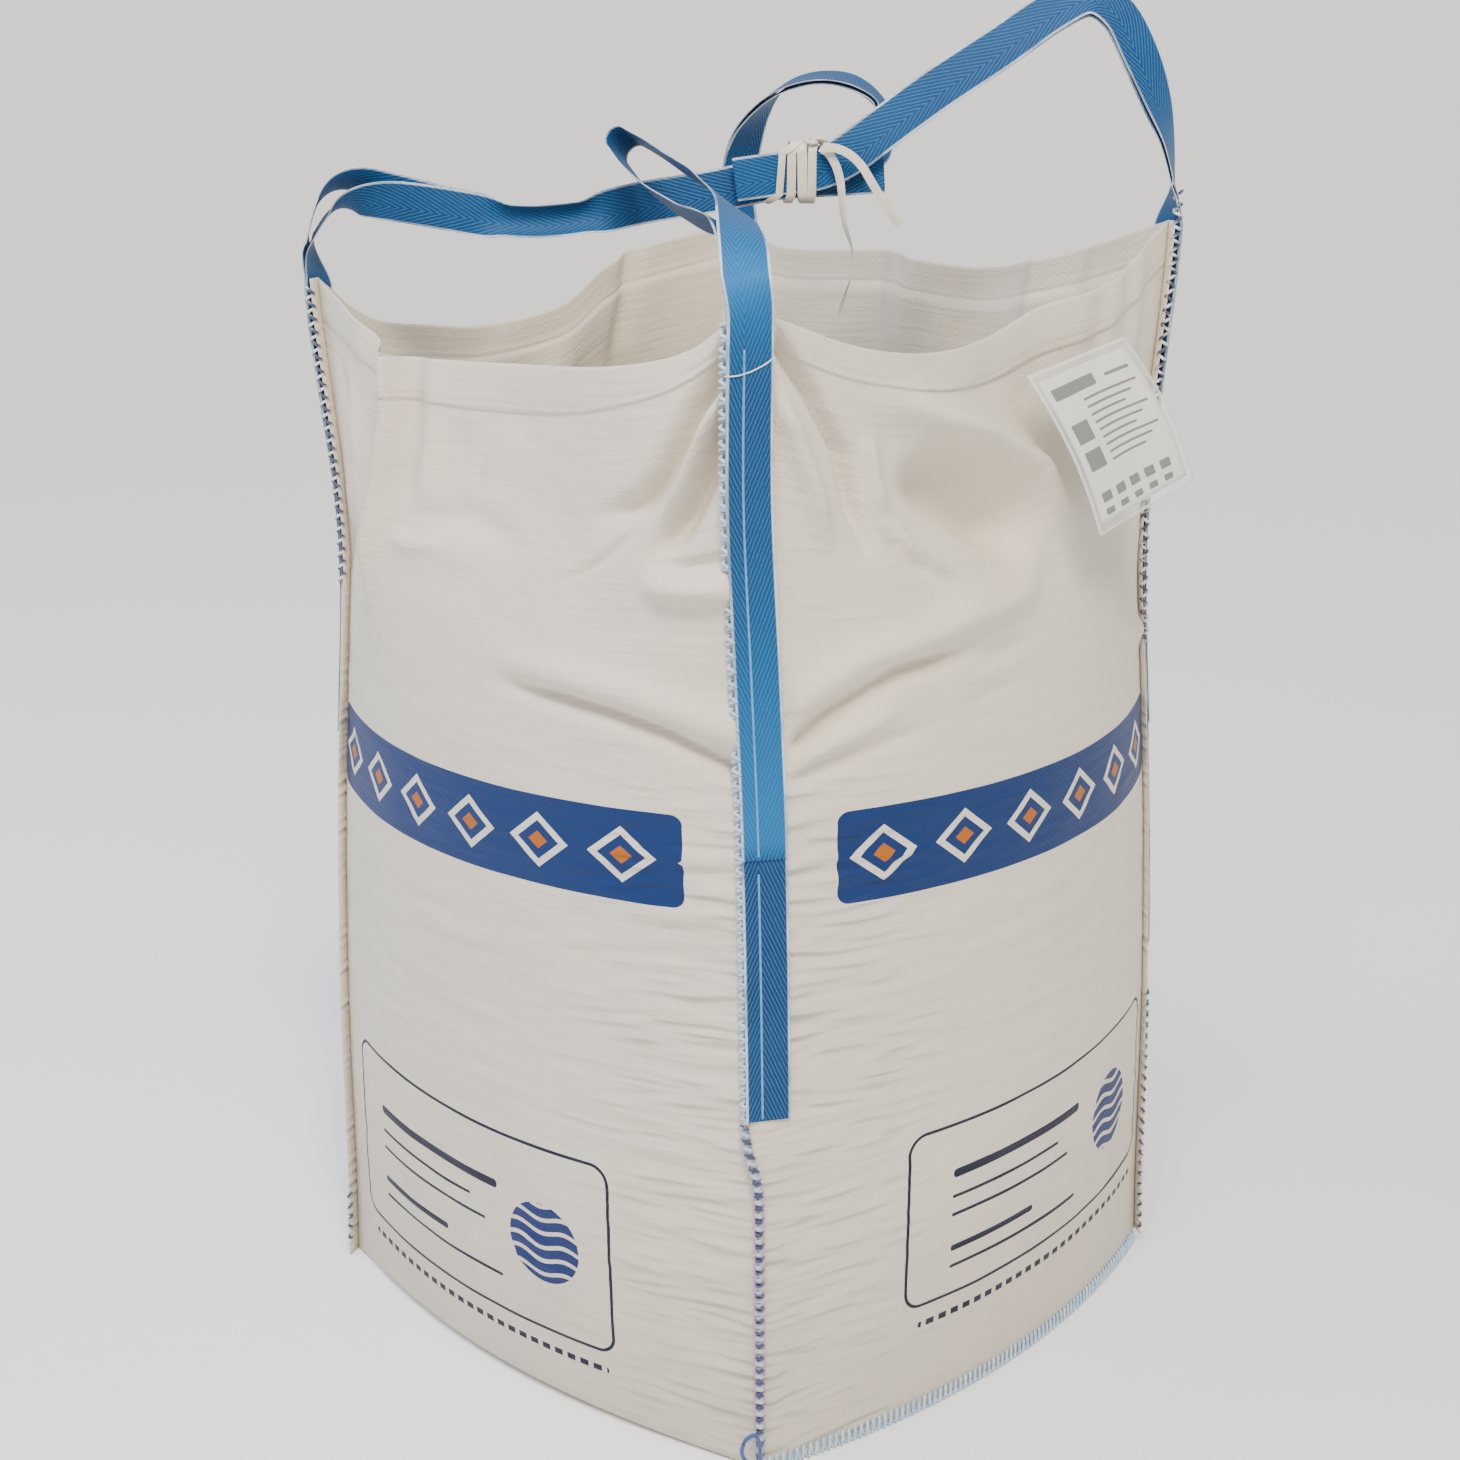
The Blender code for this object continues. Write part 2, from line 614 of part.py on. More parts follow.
def add_sleeve():
    """The document sleeve as one bowed sheet."""
    shape = bmesh.new()
    points = [Vector(corner) for corner in SLEEVE_CORNERS]
    rows = []
    for i in range(SLEEVE_ROWS + 1):
        t = i / SLEEVE_ROWS
        start = points[0].lerp(points[3], t)
        stop = points[1].lerp(points[2], t)
        sag = Vector((SLEEVE_BOW * sin(pi * t), 0, 0))
        rows.append([shape.verts.new(start + sag), shape.verts.new(stop + sag)])
    for low, high in zip(rows, rows[1:]):
        shape.faces.new((low[0], high[0], high[1], low[1]))
    piece = add_piece("label_sleeve", shape, "clear sleeve")
    thicken(piece, SLEEVE_THICK)
    return piece


def clear_scene():
    for item in list(bpy.data.objects):
        bpy.data.objects.remove(item, do_unlink=True)


clear_scene()
add_u_panel()
add_side_panel("side_panel_right", "right", True)
add_side_panel("side_panel_left", "left", False)
add_dust()
for corner_name in LOOPS:
    add_loop(corner_name)
add_tie_wraps()
for tail_name in TAILS:
    add_tail(tail_name)
add_sleeve()
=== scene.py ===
# %% [markdown]
# # A bulk bag of granite dust
# A tall bag of woven plastic cloth, two thirds full of stone dust. Its lifting loops are gathered
# over the open mouth and tied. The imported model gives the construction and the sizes. These cells
# give every surface its cloth, webbing, thread, print and dust. Lengths are in metres.

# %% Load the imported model
from math import cos, pi, radians, sin

import bpy
import numpy as np
from mathutils import Matrix, Vector


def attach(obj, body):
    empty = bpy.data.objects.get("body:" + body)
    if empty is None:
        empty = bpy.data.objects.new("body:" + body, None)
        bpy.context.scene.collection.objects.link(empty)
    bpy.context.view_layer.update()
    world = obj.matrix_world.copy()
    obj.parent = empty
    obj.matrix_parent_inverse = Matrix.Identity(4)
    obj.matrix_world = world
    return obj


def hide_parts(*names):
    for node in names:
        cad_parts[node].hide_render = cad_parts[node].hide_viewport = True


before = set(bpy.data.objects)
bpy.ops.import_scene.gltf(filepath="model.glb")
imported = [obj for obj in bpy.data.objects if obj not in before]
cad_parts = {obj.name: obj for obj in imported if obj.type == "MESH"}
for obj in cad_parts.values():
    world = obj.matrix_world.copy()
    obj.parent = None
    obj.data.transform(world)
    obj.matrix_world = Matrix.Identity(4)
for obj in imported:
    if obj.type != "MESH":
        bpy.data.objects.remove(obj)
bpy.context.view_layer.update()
print("nodes:", sorted(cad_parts))

# %% [markdown]
# ## The shape of the bag
# Cloth that is stretched over a filling is not flat. Each wall bulges between two corner seams, and
# the rim dips and ripples. A box could be inflated by a cloth simulation, but it would take its own
# shape. The bag's maker would know this one as a few measured curves: distance of the seams, bulge
# and rim by height. The same curves make the solid model, and here they are read much more finely.
# Numpy reads a whole grid of points in one go.

# %% Sizes and curves of the bag
TALL = 1.310                # corner seam, from the floor to the rim
CLOTH = 0.0012              # thickness of the woven cloth
GAP = 0.0004                # clear space between pieces that touch
ROLL = 0.020                # radius of the fold between base and front or rear
FLANGE = 0.018              # seam allowance that stands out at each corner
HALF_FACE = 0.360           # half the width of a wall, along its chord
FILL = 0.800                # height of the dust where it meets the cloth
MOUND = 0.055               # how far the dust rises in the middle
SLACK_FROM = 0.80           # height from which the cloth hangs slack
RIM_FROM = 0.85             # height from which the cloth drops or rises towards its rim
DIAGONAL = 0.5 ** 0.5

SEAM_RADIUS = [(0, .528), (.10, .525), (.36, .522), (.55, .515), (.70, .507), (.82, .498),
               (.95, .489), (1.05, .490), (1.15, .498), (1.25, .507), (1.31, .510)]
BULGE = [(0, .060), (.05, .070), (.15, .080), (.36, .088), (.55, .098), (.70, .105),
         (.82, .108), (.95, .100), (1.05, .075), (1.15, .045), (1.25, .025), (1.31, .018)]
NEAR_DRIFT = [(0, .003), (.44, .002), (.75, -.002), (.92, -.008), (1.12, -.016), (1.31, -.015)]
RIM = {
    "front": [(-1, 1.298), (-.68, 1.258), (-.53, 1.234), (-.26, 1.228), (.25, 1.236),
              (.60, 1.249), (.83, 1.271), (1, 1.313)],
    "right": [(-1, 1.313), (-.88, 1.302), (-.67, 1.273), (-.45, 1.255), (-.21, 1.248),
              (.03, 1.256), (.28, 1.281), (.57, 1.299), (.80, 1.330), (1, 1.358)],
    "rear": [(-1, 1.358), (-.79, 1.335), (-.62, 1.316), (-.37, 1.294), (-.12, 1.278),
             (.18, 1.294), (.42, 1.292), (.80, 1.288), (1, 1.319)],
    "left": [(-1, 1.319), (-.84, 1.308), (-.56, 1.293), (-.30, 1.271), (-.10, 1.230),
             (.19, 1.212), (.47, 1.222), (.75, 1.241), (1, 1.298)],
}
RIPPLE = {
    "front": [(-1, 0), (-.75, .012), (-.50, .040), (-.25, .012), (.10, -.004), (.60, .010), (1, 0)],
    "right": [(-1, 0), (-.60, .016), (-.20, .006), (.20, -.006), (.55, .020), (.75, .004), (1, 0)],
    "rear": [(-1, 0), (-.50, .010), (-.15, .030), (.05, -.010), (.50, .012), (1, 0)],
    "left": [(-1, 0), (-.60, .006), (-.20, -.016), (.20, .020), (.60, .012), (1, 0)],
}
FACES = {"front": ("left", "near"), "right": ("near", "right"),
         "rear": ("right", "back"), "left": ("back", "left")}
CORNER_WAYS = {"near": (0, 1), "right": (1, 0), "back": (0, -1), "left": (-1, 0)}
print("corner seam:", TALL, "m tall; curves for", sorted(FACES))

# %% Reading the curves


def spot(across, toward, up):
    """World point of a place given along the two diagonals of the bag."""
    across, toward, up = np.broadcast_arrays(across, toward, up)
    return np.stack([(across + toward) * DIAGONAL, (across - toward) * DIAGONAL, up], -1)


def through(points, x):
    """A smooth curve through (place, value) points, by cubic pieces."""
    known, value = np.array(points, float).T
    x = np.clip(x, known[0], known[-1])
    slope = np.empty(len(known))
    slope[1:-1] = (value[2:] - value[:-2]) / (known[2:] - known[:-2])
    slope[0] = (value[1] - value[0]) / (known[1] - known[0])
    slope[-1] = (value[-1] - value[-2]) / (known[-1] - known[-2])
    i = np.clip(np.searchsorted(known, x) - 1, 0, len(known) - 2)
    span = known[i + 1] - known[i]
    t = (x - known[i]) / span
    return (value[i] * (1 + 2 * t) * (1 - t) ** 2 + value[i + 1] * t * t * (3 - 2 * t)
            + span * slope[i] * t * (1 - t) ** 2 - span * slope[i + 1] * t * t * (1 - t))


def ease(t):
    t = np.clip(t, 0.0, 1.0)
    return t * t * (3 - 2 * t)


def unit(vectors):
    return vectors / np.maximum(np.linalg.norm(vectors, axis=-1, keepdims=True), 1e-9)


def seam(corner, height):
    """Where a corner seam passes at a height, in plan."""
    radius = through(SEAM_RADIUS, height)
    across, toward = CORNER_WAYS[corner]
    drift = through(NEAR_DRIFT, height) if corner == "near" else 0.0
    return spot(radius * across + drift, radius * toward, 0 * radius)


def face_point(face, place, height):
    """Outside of the bag: place runs -1 to 1 across the wall, height is along the seam."""
    place, height = np.broadcast_arrays(np.asarray(place, float), np.asarray(height, float))
    start, stop = (seam(corner, height) for corner in FACES[face])
    outward = np.cross(unit(stop - start), (0, 0, 1))
    slack = ease((height - SLACK_FROM) / (TALL - SLACK_FROM))
    bulge = through(BULGE, height) * (1 - place ** 2) + slack * through(RIPPLE[face], place)
    if face in ("front", "rear"):
        rest = np.clip(1 - height / ROLL, 0, 1)
        bulge = bulge - ROLL * (1 - place ** 4) * (1 - np.sqrt(1 - rest ** 2))
    share = ((place + 1) / 2)[..., None]
    point = start * (1 - share) + stop * share + outward * bulge[..., None]
    drop = through(RIM[face], place) - TALL
    point[..., 2] = height + ease((height - RIM_FROM) / (TALL - RIM_FROM)) * drop
    return point


print("middle of the front at half height:", np.round(face_point("front", 0, .65), 3))

# %% [markdown]
# ## Folds and wrinkles
# Where the bag is full, the cloth is tight and shows only fine level wrinkles beside the seams.
# Above the filling it hangs in long slanting folds. A cloth simulation would give some folds, but
# not these ones, so each fold is drawn as a short line on the wall, with its depth and its
# width, and pushes the cloth in or out. The fine wrinkles are smooth noise that is stretched along
# the wall.

# %% Folds drawn on the walls
# Points are (place, height). Depth is outwards if positive. Width is in metres.
FOLDS = {
    "front": [
        ([(1.0, 1.290), (.85, 1.240), (.75, 1.180), (.66, 1.145), (.45, 1.123)], -.021, .015),
        ([(.99, 1.235), (.88, 1.160), (.79, 1.100), (.71, 1.060)], -.024, .016),
        ([(.97, 1.270), (.87, 1.205), (.79, 1.140), (.72, 1.100)], .015, .009),
        ([(1.0, 1.028), (.82, 1.036), (.66, 1.042)], .014, .015),
        ([(.99, 1.060), (.84, 1.062), (.71, 1.068)], -.006, .008),
        ([(.68, 1.125), (.54, 1.073), (.37, 1.032)], -.0045, .005),
        ([(.10, .900), (.42, .888), (.58, .880), (.76, .863), (1.0, .822)], -.013, .009),
        ([(.06, .930), (.42, .920), (.66, .906), (1.0, .868)], .0095, .020),
        ([(-.46, 1.050), (-.30, 1.095), (-.10, 1.112), (.05, 1.093), (.28, 1.050)], -.0050, .022),
        ([(-.44, 1.010), (-.20, 1.060), (.05, 1.040)], .0050, .025),
        ([(-.12, 1.250), (-.16, 1.180), (-.20, 1.110)], -.0030, .012),
        ([(.10, 1.250), (.02, 1.200), (-.05, 1.160)], .0025, .016),
        ([(-.42, 1.330), (-.43, 1.230), (-.47, 1.140), (-.52, 1.012), (-.58, .900)], .017, .010),
        ([(-.34, 1.330), (-.35, 1.200), (-.40, 1.080)], -.0060, .014),
        ([(-.27, 1.330), (-.28, 1.200), (-.31, 1.080)], .0045, .014),
        ([(-.58, 1.330), (-.60, 1.200), (-.64, 1.060), (-.68, .950)], -.015, .028),
        ([(-.49, 1.250), (-.53, 1.100), (-.58, .980)], -.0050, .006),
        ([(-.90, 1.260), (-.82, 1.160), (-.86, 1.045), (-.99, .955)], -.0080, .010),
        ([(-.78, 1.250), (-.74, 1.120), (-.80, 1.000)], .0070, .014),
        ([(-.46, 1.060), (-.30, 1.052), (-.16, 1.066)], .0050, .012),
        ([(.70, .780), (1.0, .790)], .0030, .007),
        ([(.72, .722), (1.0, .736)], .0040, .007),
        ([(.74, .709), (1.0, .722)], -.0030, .005),
        ([(.58, .652), (1.0, .672)], .0035, .007),
        ([(.60, .640), (1.0, .660)], -.0025, .005),
        ([(-.22, .571), (.14, .583)], .0028, .007),
        ([(-.40, .560), (-.12, .566)], -.0022, .006),
        ([(.20, .598), (.55, .620)], .0022, .006),
        ([(.30, .540), (.62, .556)], .0018, .005),
        ([(.10, .500), (.40, .510)], .0016, .005),
        ([(-.30, .520), (-.05, .528)], -.0015, .005),
    ],
    "right": [
        ([(-.62, 1.270), (-.36, 1.250), (-.10, 1.205), (.14, 1.135), (.30, 1.060), (.36, 1.000)],
         .030, .024),
        ([(-.50, 1.180), (-.25, 1.142), (-.01, 1.075), (.13, 1.015)], -.032, .036),
        ([(-.46, 1.000), (-.16, .985), (.16, .990)], .0100, .022),
        ([(-.92, 1.300), (-.77, 1.245), (-.67, 1.190), (-.64, 1.120), (-.60, 1.040)], -.017, .009),
        ([(-.96, 1.270), (-.84, 1.200), (-.78, 1.140), (-.74, 1.060)], .014, .013),
        ([(-.58, 1.230), (-.56, 1.160), (-.53, 1.110)], .0080, .010),
        ([(-.52, 1.125), (-.46, 1.080), (-.34, 1.042), (-.28, 1.024)], .0065, .006),
        ([(-.56, 1.105), (-.48, 1.060), (-.38, 1.028)], -.0060, .008),
        ([(-1.0, .824), (-.91, .843), (-.78, .883), (-.55, .925), (-.15, .942)], -.013, .010),
        ([(-1.0, .872), (-.86, .905), (-.66, .948), (-.36, .970), (.00, .975)], .0100, .018),
        ([(-1.0, .800), (-.86, .822), (-.68, .842), (-.36, .860)], -.0080, .008),
        ([(-1.0, .816), (-.80, .850), (-.52, .886)], .0070, .009),
        ([(-1.0, .728), (-.80, .729), (-.55, .716), (-.36, .714)], .0045, .005),
        ([(-1.0, .716), (-.80, .717), (-.57, .706)], -.0040, .006),
        ([(-1.0, .780), (-.70, .776)], .0030, .007),
        ([(-1.0, .756), (-.74, .752)], -.0025, .007),
        ([(-.30, .925), (.05, .930)], -.0030, .007),
        ([(-.36, .900), (.02, .910)], .0025, .007),
        ([(-.34, .874), (-.06, .884)], -.0022, .006),
        ([(.60, .880), (.80, .868), (1.0, .855)], .0060, .014),
        ([(.55, 1.330), (.50, 1.200), (.45, 1.080)], -.0060, .022),
        ([(.78, 1.330), (.74, 1.180), (.70, 1.040), (.72, .920)], .0060, .024),
        ([(-.64, .566), (-.30, .560)], .0018, .005),
        ([(-.55, .630), (-.20, .640)], .0022, .006),
        ([(-.60, .520), (-.36, .515)], -.0018, .005),
    ],
    "rear": [
        ([(-.60, 1.340), (-.52, 1.180), (-.40, 1.020), (-.20, .930)], .009, .024),
        ([(-.42, 1.310), (-.34, 1.160), (-.22, 1.040)], -.009, .020),
        ([(.30, 1.310), (.36, 1.180), (.52, 1.040), (.80, .930)], .009, .022),
        ([(.10, 1.310), (.16, 1.200), (.20, 1.080)], -.007, .018),
        ([(-1.0, .840), (-.70, .900), (-.30, .920)], -.008, .012),
        ([(1.0, .830), (.70, .880), (.35, .900)], -.008, .012),
    ],
    "left": [
        ([(-.50, 1.310), (-.42, 1.180), (-.50, 1.050), (-.70, .940)], .009, .022),
        ([(.10, 1.260), (.16, 1.140), (.34, 1.000), (.60, .910)], .010, .024),
        ([(-.10, 1.270), (-.06, 1.150), (.06, 1.040)], -.009, .020),
        ([(-1.0, .830), (-.66, .890), (-.20, .910)], -.008, .012),
        ([(1.0, .840), (.70, .880), (.40, .890)], -.007, .012),
    ],
}
print("folds drawn:", {face: len(lines) for face, lines in FOLDS.items()})

# %% Wrinkles and dents
# Level wrinkles: (first place, last place, lowest, highest, how deep, how tall)
WRINKLES = {
    "front": [(.50, 1.0, .04, .80, .0026, .011), (-.9, .7, .40, .64, .0013, .010),
              (-1, 1, .03, .95, .0009, .014)],
    "right": [(-1.0, -.52, .04, .80, .0026, .011), (-.6, .3, .40, .66, .0014, .010),
              (-1, 1, .03, .95, .0009, .014)],
    "rear": [(-1.0, -.5, .04, .80, .0014, .012), (.5, 1.0, .04, .80, .0014, .012),
             (-1, 1, .03, .95, .0006, .016)],
    "left": [(-1.0, -.5, .04, .80, .0014, .012), (.5, 1.0, .04, .80, .0014, .012),
             (-1, 1, .03, .95, .0006, .016)],
}
LONG_WRINKLE, SHORT_WRINKLE = 0.085, 0.04      # lengths of the fine wrinkles along the wall
FADE = 0.14                 # share of a wrinkled patch over which it fades out
FOLD_DEPTH = 1.45           # how much deeper the folds are in slack cloth
FOLD_FADE = 0.35            # share of a fold over which an open end fades out
AT_SEAM, AT_RIM = 0.97, 1.28      # past these a fold has no open end, and is deep at once
SLACK_EASE = 0.2            # height over which the cloth goes from tight to slack
# Size and depth of the soft dents in slack cloth
DENTS = [(.17, .0050), (.070, .0022), (.035, .0008)]
NOISE_CELLS, NOISE_SHIFT = 64, 20.0      # the noise repeats after so many cells
DENT_SEED = 40
print("wrinkled patches:", {face: len(patches) for face, patches in WRINKLES.items()})

# %% Relief of a wall


def rumple(u, v, long, tall, seed):
    """Smooth noise from -1 to 1, as wide as long and as high as tall."""
    heights = np.random.default_rng(seed).uniform(-1, 1, (NOISE_CELLS, NOISE_CELLS))
    x, y = u / long + NOISE_SHIFT, v / tall + NOISE_SHIFT
    i, j = np.floor(x).astype(int), np.floor(y).astype(int)
    s, t = ease(x - i), ease(y - j)

    def at(a, b):
        return heights[a % NOISE_CELLS, b % NOISE_CELLS]

    low = at(i, j) * (1 - s) + at(i + 1, j) * s
    high = at(i, j + 1) * (1 - s) + at(i + 1, j + 1) * s
    return low * (1 - t) + high * t


def fold(u, v, points, depth, width):
    """One fold: deepest on its line, and fading out at its ends."""
    line = np.array(points, float) * (HALF_FACE, 1)
    steps = np.linalg.norm(np.diff(line, axis=0), axis=1)
    before = np.concatenate([[0], np.cumsum(steps)])
    nearest = np.full(u.shape, np.inf)
    along = np.zeros(u.shape)
    for k, length in enumerate(steps):
        way = (line[k + 1] - line[k]) / length
        t = np.clip((u - line[k][0]) * way[0] + (v - line[k][1]) * way[1], 0, length)
        away = np.hypot(u - line[k][0] - way[0] * t, v - line[k][1] - way[1] * t)
        closer = away < nearest
        nearest = np.where(closer, away, nearest)
        along = np.where(closer, before[k] + t, along)
    share = along / before[-1]
    fade = np.ones(u.shape)
    for (place, height), from_end in ((points[0], share), (points[-1], 1 - share)):
        if abs(place) <= AT_SEAM and height <= AT_RIM:
            fade = fade * ease(from_end / FOLD_FADE)
    return depth * np.exp(-(nearest / width) ** 2) * fade


def relief(face, place, height):
    """How far the cloth stands out from the smooth wall."""
    u, v = place * HALF_FACE, height
    out = np.zeros(place.shape)
    for points, depth, width in FOLDS[face]:
        deeper = FOLD_DEPTH if points[0][1] > SLACK_FROM else 1
        out += deeper * fold(u, v, points, depth, width)
    for k, (first, last, low, high, depth, tall) in enumerate(WRINKLES[face]):
        side = (last - first) * FADE
        rise = (high - low) * FADE
        patch = (ease((place - first) / side if first > -1 else 1 + 0 * place)
                 * ease((last - place) / side if last < 1 else 1 + 0 * place)
                 * ease((height - low) / rise) * ease((high - height) / rise))
        seed = 10 * k + len(face)
        waves = (rumple(u, v, LONG_WRINKLE, tall, seed)
                 + .5 * rumple(u, v, SHORT_WRINKLE, tall / 2, seed + 1))
        out += depth * patch * waves
    slack = ease((height - SLACK_FROM) / SLACK_EASE)
    for k, (size, depth) in enumerate(DENTS):
        out += slack * depth * rumple(u, v, size, size, DENT_SEED + k + len(face))
    return out


middle = relief("front", np.zeros(3), np.array([.3, .7, 1.1]))
print("relief up the middle of the front:", np.round(middle * 1000, 1), "mm")

# %% [markdown]
# ## Walls and base
# The bag is a U-panel bag: one long piece makes the front, the base and the rear, and two side
# pieces close it. At each corner one piece carries a seam allowance that stands out. A box that is
# subdivided has no row where the hem or a fold needs one, so each piece is a grid of points, pushed
# out by its relief. The hem at the rim is the cloth folded back on itself, so the wall steps out
# over the hem's edge. Solidify then gives the cloth its thickness, and puts another material on the
# inner side.

# %% Hem, pleats and rows
HEM = {
    "front": [(-1, 1.262), (-.4, 1.260), (-.1, 1.254), (.3, 1.256), (.65, 1.270), (.9, 1.282),
              (1, 1.284)],
    "right": [(-1, 1.282), (-.8, 1.276), (-.45, 1.272), (-.1, 1.262), (.2, 1.254), (1, 1.262)],
    "rear": [(-1, 1.265), (1, 1.265)],
    "left": [(-1, 1.265), (1, 1.265)],
}
HEM_STEP = 0.0018           # how far the folded hem stands out
HEM_ROWS = 12
HEM_FIRST = .0006 / .04     # the first row over the hem's edge, as a share of the hem
LINE_PINCH, LINE_UP, LINE_WIDE = 0.0012, 0.006, 0.004      # the sewing line draws the hem in
# Share of a wall that the webbing covers at its start and its end, and over which folds fade out
COVER = {"front": (0, 0), "right": (.09, 0), "rear": (.09, .09), "left": (0, .09)}
COVER_FADE = 0.05
EDGE_FADE = 0.03            # the hem's step fades out over this share of the wall
FOOT_LOW, FOOT_FADE = 0.002, 0.03       # folds start here over the floor, and fade in over this
ROW_EASE = 0.25             # how much closer the rows lie near the floor and the hem
PUCKER_PITCH = 0.031        # pitch of the puffed pleats beside the near seam, below the webbing
PUCKER_TOP, PUCKER_FADE, PUCKER_WIDE = 0.360, 0.05, 0.026
PUCKER_LOW, PUCKER_RISE = 0.0012, 0.0052
PUCKER_SHIFT = 0.35         # how unevenly the pleats follow each other
PUCKER_LONG, PUCKER_TALL, PUCKER_SEED = 0.3, 0.05, 71      # the noise that shifts the pleats
PUCKER_ROUND = 0.6          # less than 1 makes the pleats round and their valleys sharp
# A folded edge beside the near seam: its step, how far it reaches, and where it starts and is full
STRIP_STEP, STRIP_TO, STRIP_LOW, STRIP_RISE = 0.0014, -.935, 0.335, 0.004


def row_heights(face, places, rows):
    """Heights of the rows over each column: they follow the hem line near the rim."""
    hem = through(HEM[face], places)
    even = np.linspace(0, 1, rows - HEM_ROWS)
    body = ease(even) * ROW_EASE + even * (1 - ROW_EASE)
    low = body[:, None] * hem[None, :]
    high = hem[None, :] + np.linspace(HEM_FIRST, 1, HEM_ROWS)[:, None] * (TALL - hem[None, :])
    return np.concatenate([low, high])


print("rows of the front, middle column:", np.round(row_heights("front", np.zeros(1), 16)[:, 0], 3))

# %% Points of a wall


def puckers(place, heights, foot):
    """The puffed pleats and the folded edge beside the near seam."""
    beside = (place + 1) * HALF_FACE
    puffed = (np.sin(pi * np.clip(beside / PUCKER_WIDE, 0, 1))
              * ease((PUCKER_TOP - heights) / PUCKER_FADE) * foot)
    phase = heights / PUCKER_PITCH + PUCKER_SHIFT * rumple(
        beside, heights, PUCKER_LONG, PUCKER_TALL, PUCKER_SEED)
    rounded = 1 - np.abs(np.sin(pi * phase)) ** PUCKER_ROUND
    strip = STRIP_STEP * (place < STRIP_TO) * ease((heights - STRIP_LOW) / STRIP_RISE)
    return puffed * (PUCKER_LOW + PUCKER_RISE * rounded), strip


def wall(face, first, last, columns, rows):
    """Points of a wall with its folds, and the place of each on the cloth."""
    places = np.linspace(first, last, columns + 1)
    heights = row_heights(face, places, rows)
    place = np.broadcast_to(places, heights.shape)
    points = face_point(face, place, heights)
    normal = unit(np.cross(np.gradient(points, axis=1), np.gradient(points, axis=0)))
    start, stop = COVER[face]
    clear = ease((1 + place - start) / COVER_FADE) * ease((1 - place - stop) / COVER_FADE)
    foot = ease((heights - FOOT_LOW) / FOOT_FADE)
    out = relief(face, place, heights) * clear * foot
    above = heights - through(HEM[face], places)[None, :]
    out += np.where(above > 0, HEM_STEP, 0) * ease((1 - np.abs(place)) / EDGE_FADE)
    out -= LINE_PINCH * np.exp(-((above - LINE_UP) / LINE_WIDE) ** 2) * clear
    if face == "right":
        for part in puckers(place, heights, foot):
            out += part
    return points + normal * out[..., None], np.stack([place * HALF_FACE, heights], -1)


print("a coarse wall has", wall("rear", -1, 1, 4, 20)[0].shape[:2], "rows and columns of points")

# %% Seam allowances
FLANGE_WAYS = {"near": (-1.0, -.02), "left": (-.37, .93), "right": (.21, .98), "back": (-.98, -.20)}
# Below the webbing the near allowance is narrow and turned out: from, over, way and reach
NEAR_TURN, NEAR_OVER, NEAR_WAY, NEAR_REACH = 0.44, 0.10, (-.35, .94), 0.0095
# Where the bag is full, no thread shows on the left, and the allowance hides the webbing's edge
LEFT_FROM, LEFT_OVER, LEFT_MORE = 0.94, 0.03, 0.0022


def flange_reach(corner, heights):
    """How far the seam allowance stands out, and which way."""
    heights = np.asarray(heights)
    way = np.broadcast_to(unit(spot(*FLANGE_WAYS[corner], 0.0)), (*heights.shape, 3))
    reach = np.full(heights.shape, FLANGE)
    if corner == "near":
        turned = ease((NEAR_TURN - heights) / NEAR_OVER)[..., None]
        way = unit(way * (1 - turned) + unit(spot(*NEAR_WAY, 0.0)) * turned)
        reach = FLANGE * (1 - turned[..., 0]) + NEAR_REACH * turned[..., 0]
    if corner == "left":
        reach = FLANGE + LEFT_MORE * ease((LEFT_FROM - heights) / LEFT_OVER)
    return reach, way


def flange_point(corner, face, place, heights, share=1.0):
    """A point of a seam allowance, from the seam line (0) to its raw edge (1)."""
    reach, way = flange_reach(corner, heights)
    return face_point(face, place, heights) + way * (reach * share)[..., None]


print("near allowance:", np.round(flange_reach("near", np.array([.2, .9]))[0], 4), "m wide")

# %% Meshes
PLAIN_FROM = 1.0            # from here on along the UV map the cloth has no print


def new_piece(name, mesh, materials, node=None):
    """A finished piece. It rides on the bag's one body, and may stand for a node of the model."""
    piece = bpy.data.objects.new(name, mesh)
    bpy.context.scene.collection.objects.link(piece)
    for material in materials:
        mesh.materials.append(material)
    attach(piece, "root")
    if node:
        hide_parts(node)
    return piece


def mesh_of(name, points, faces, places=None, sharp=None):
    """A mesh with smooth shading, and a UV map in metres where places are given."""
    mesh = bpy.data.meshes.new(name)
    mesh.from_pydata([tuple(p) for p in np.reshape(points, (-1, 3))], [], faces)
    mesh.validate()
    mesh.shade_smooth()
    if sharp:
        mesh.set_sharp_from_angle(angle=sharp)
    if places is not None:
        layer = mesh.uv_layers.new(name="cloth")
        corner = np.zeros(len(mesh.loops), np.int32)
        mesh.loops.foreach_get("vertex_index", corner)
        places = np.reshape(places, (-1, 2)).astype(np.float32)
        layer.data.foreach_set("uv", places[corner].ravel())
    return mesh


def numbered(points, start=0):
    """The vertex numbers of a grid of points."""
    rows, columns = points.shape[:2]
    return start + np.arange(rows * columns).reshape(rows, columns)


def grid_faces(index, turned=False):
    """Quads over a grid of vertex numbers; rows run up, columns counter-clockwise."""
    a, b = index[:-1, :-1].ravel(), index[:-1, 1:].ravel()
    c, d = index[1:, 1:].ravel(), index[1:, :-1].ravel()
    quads = np.stack([d, c, b, a] if turned else [a, b, c, d], 1)
    return quads.tolist()


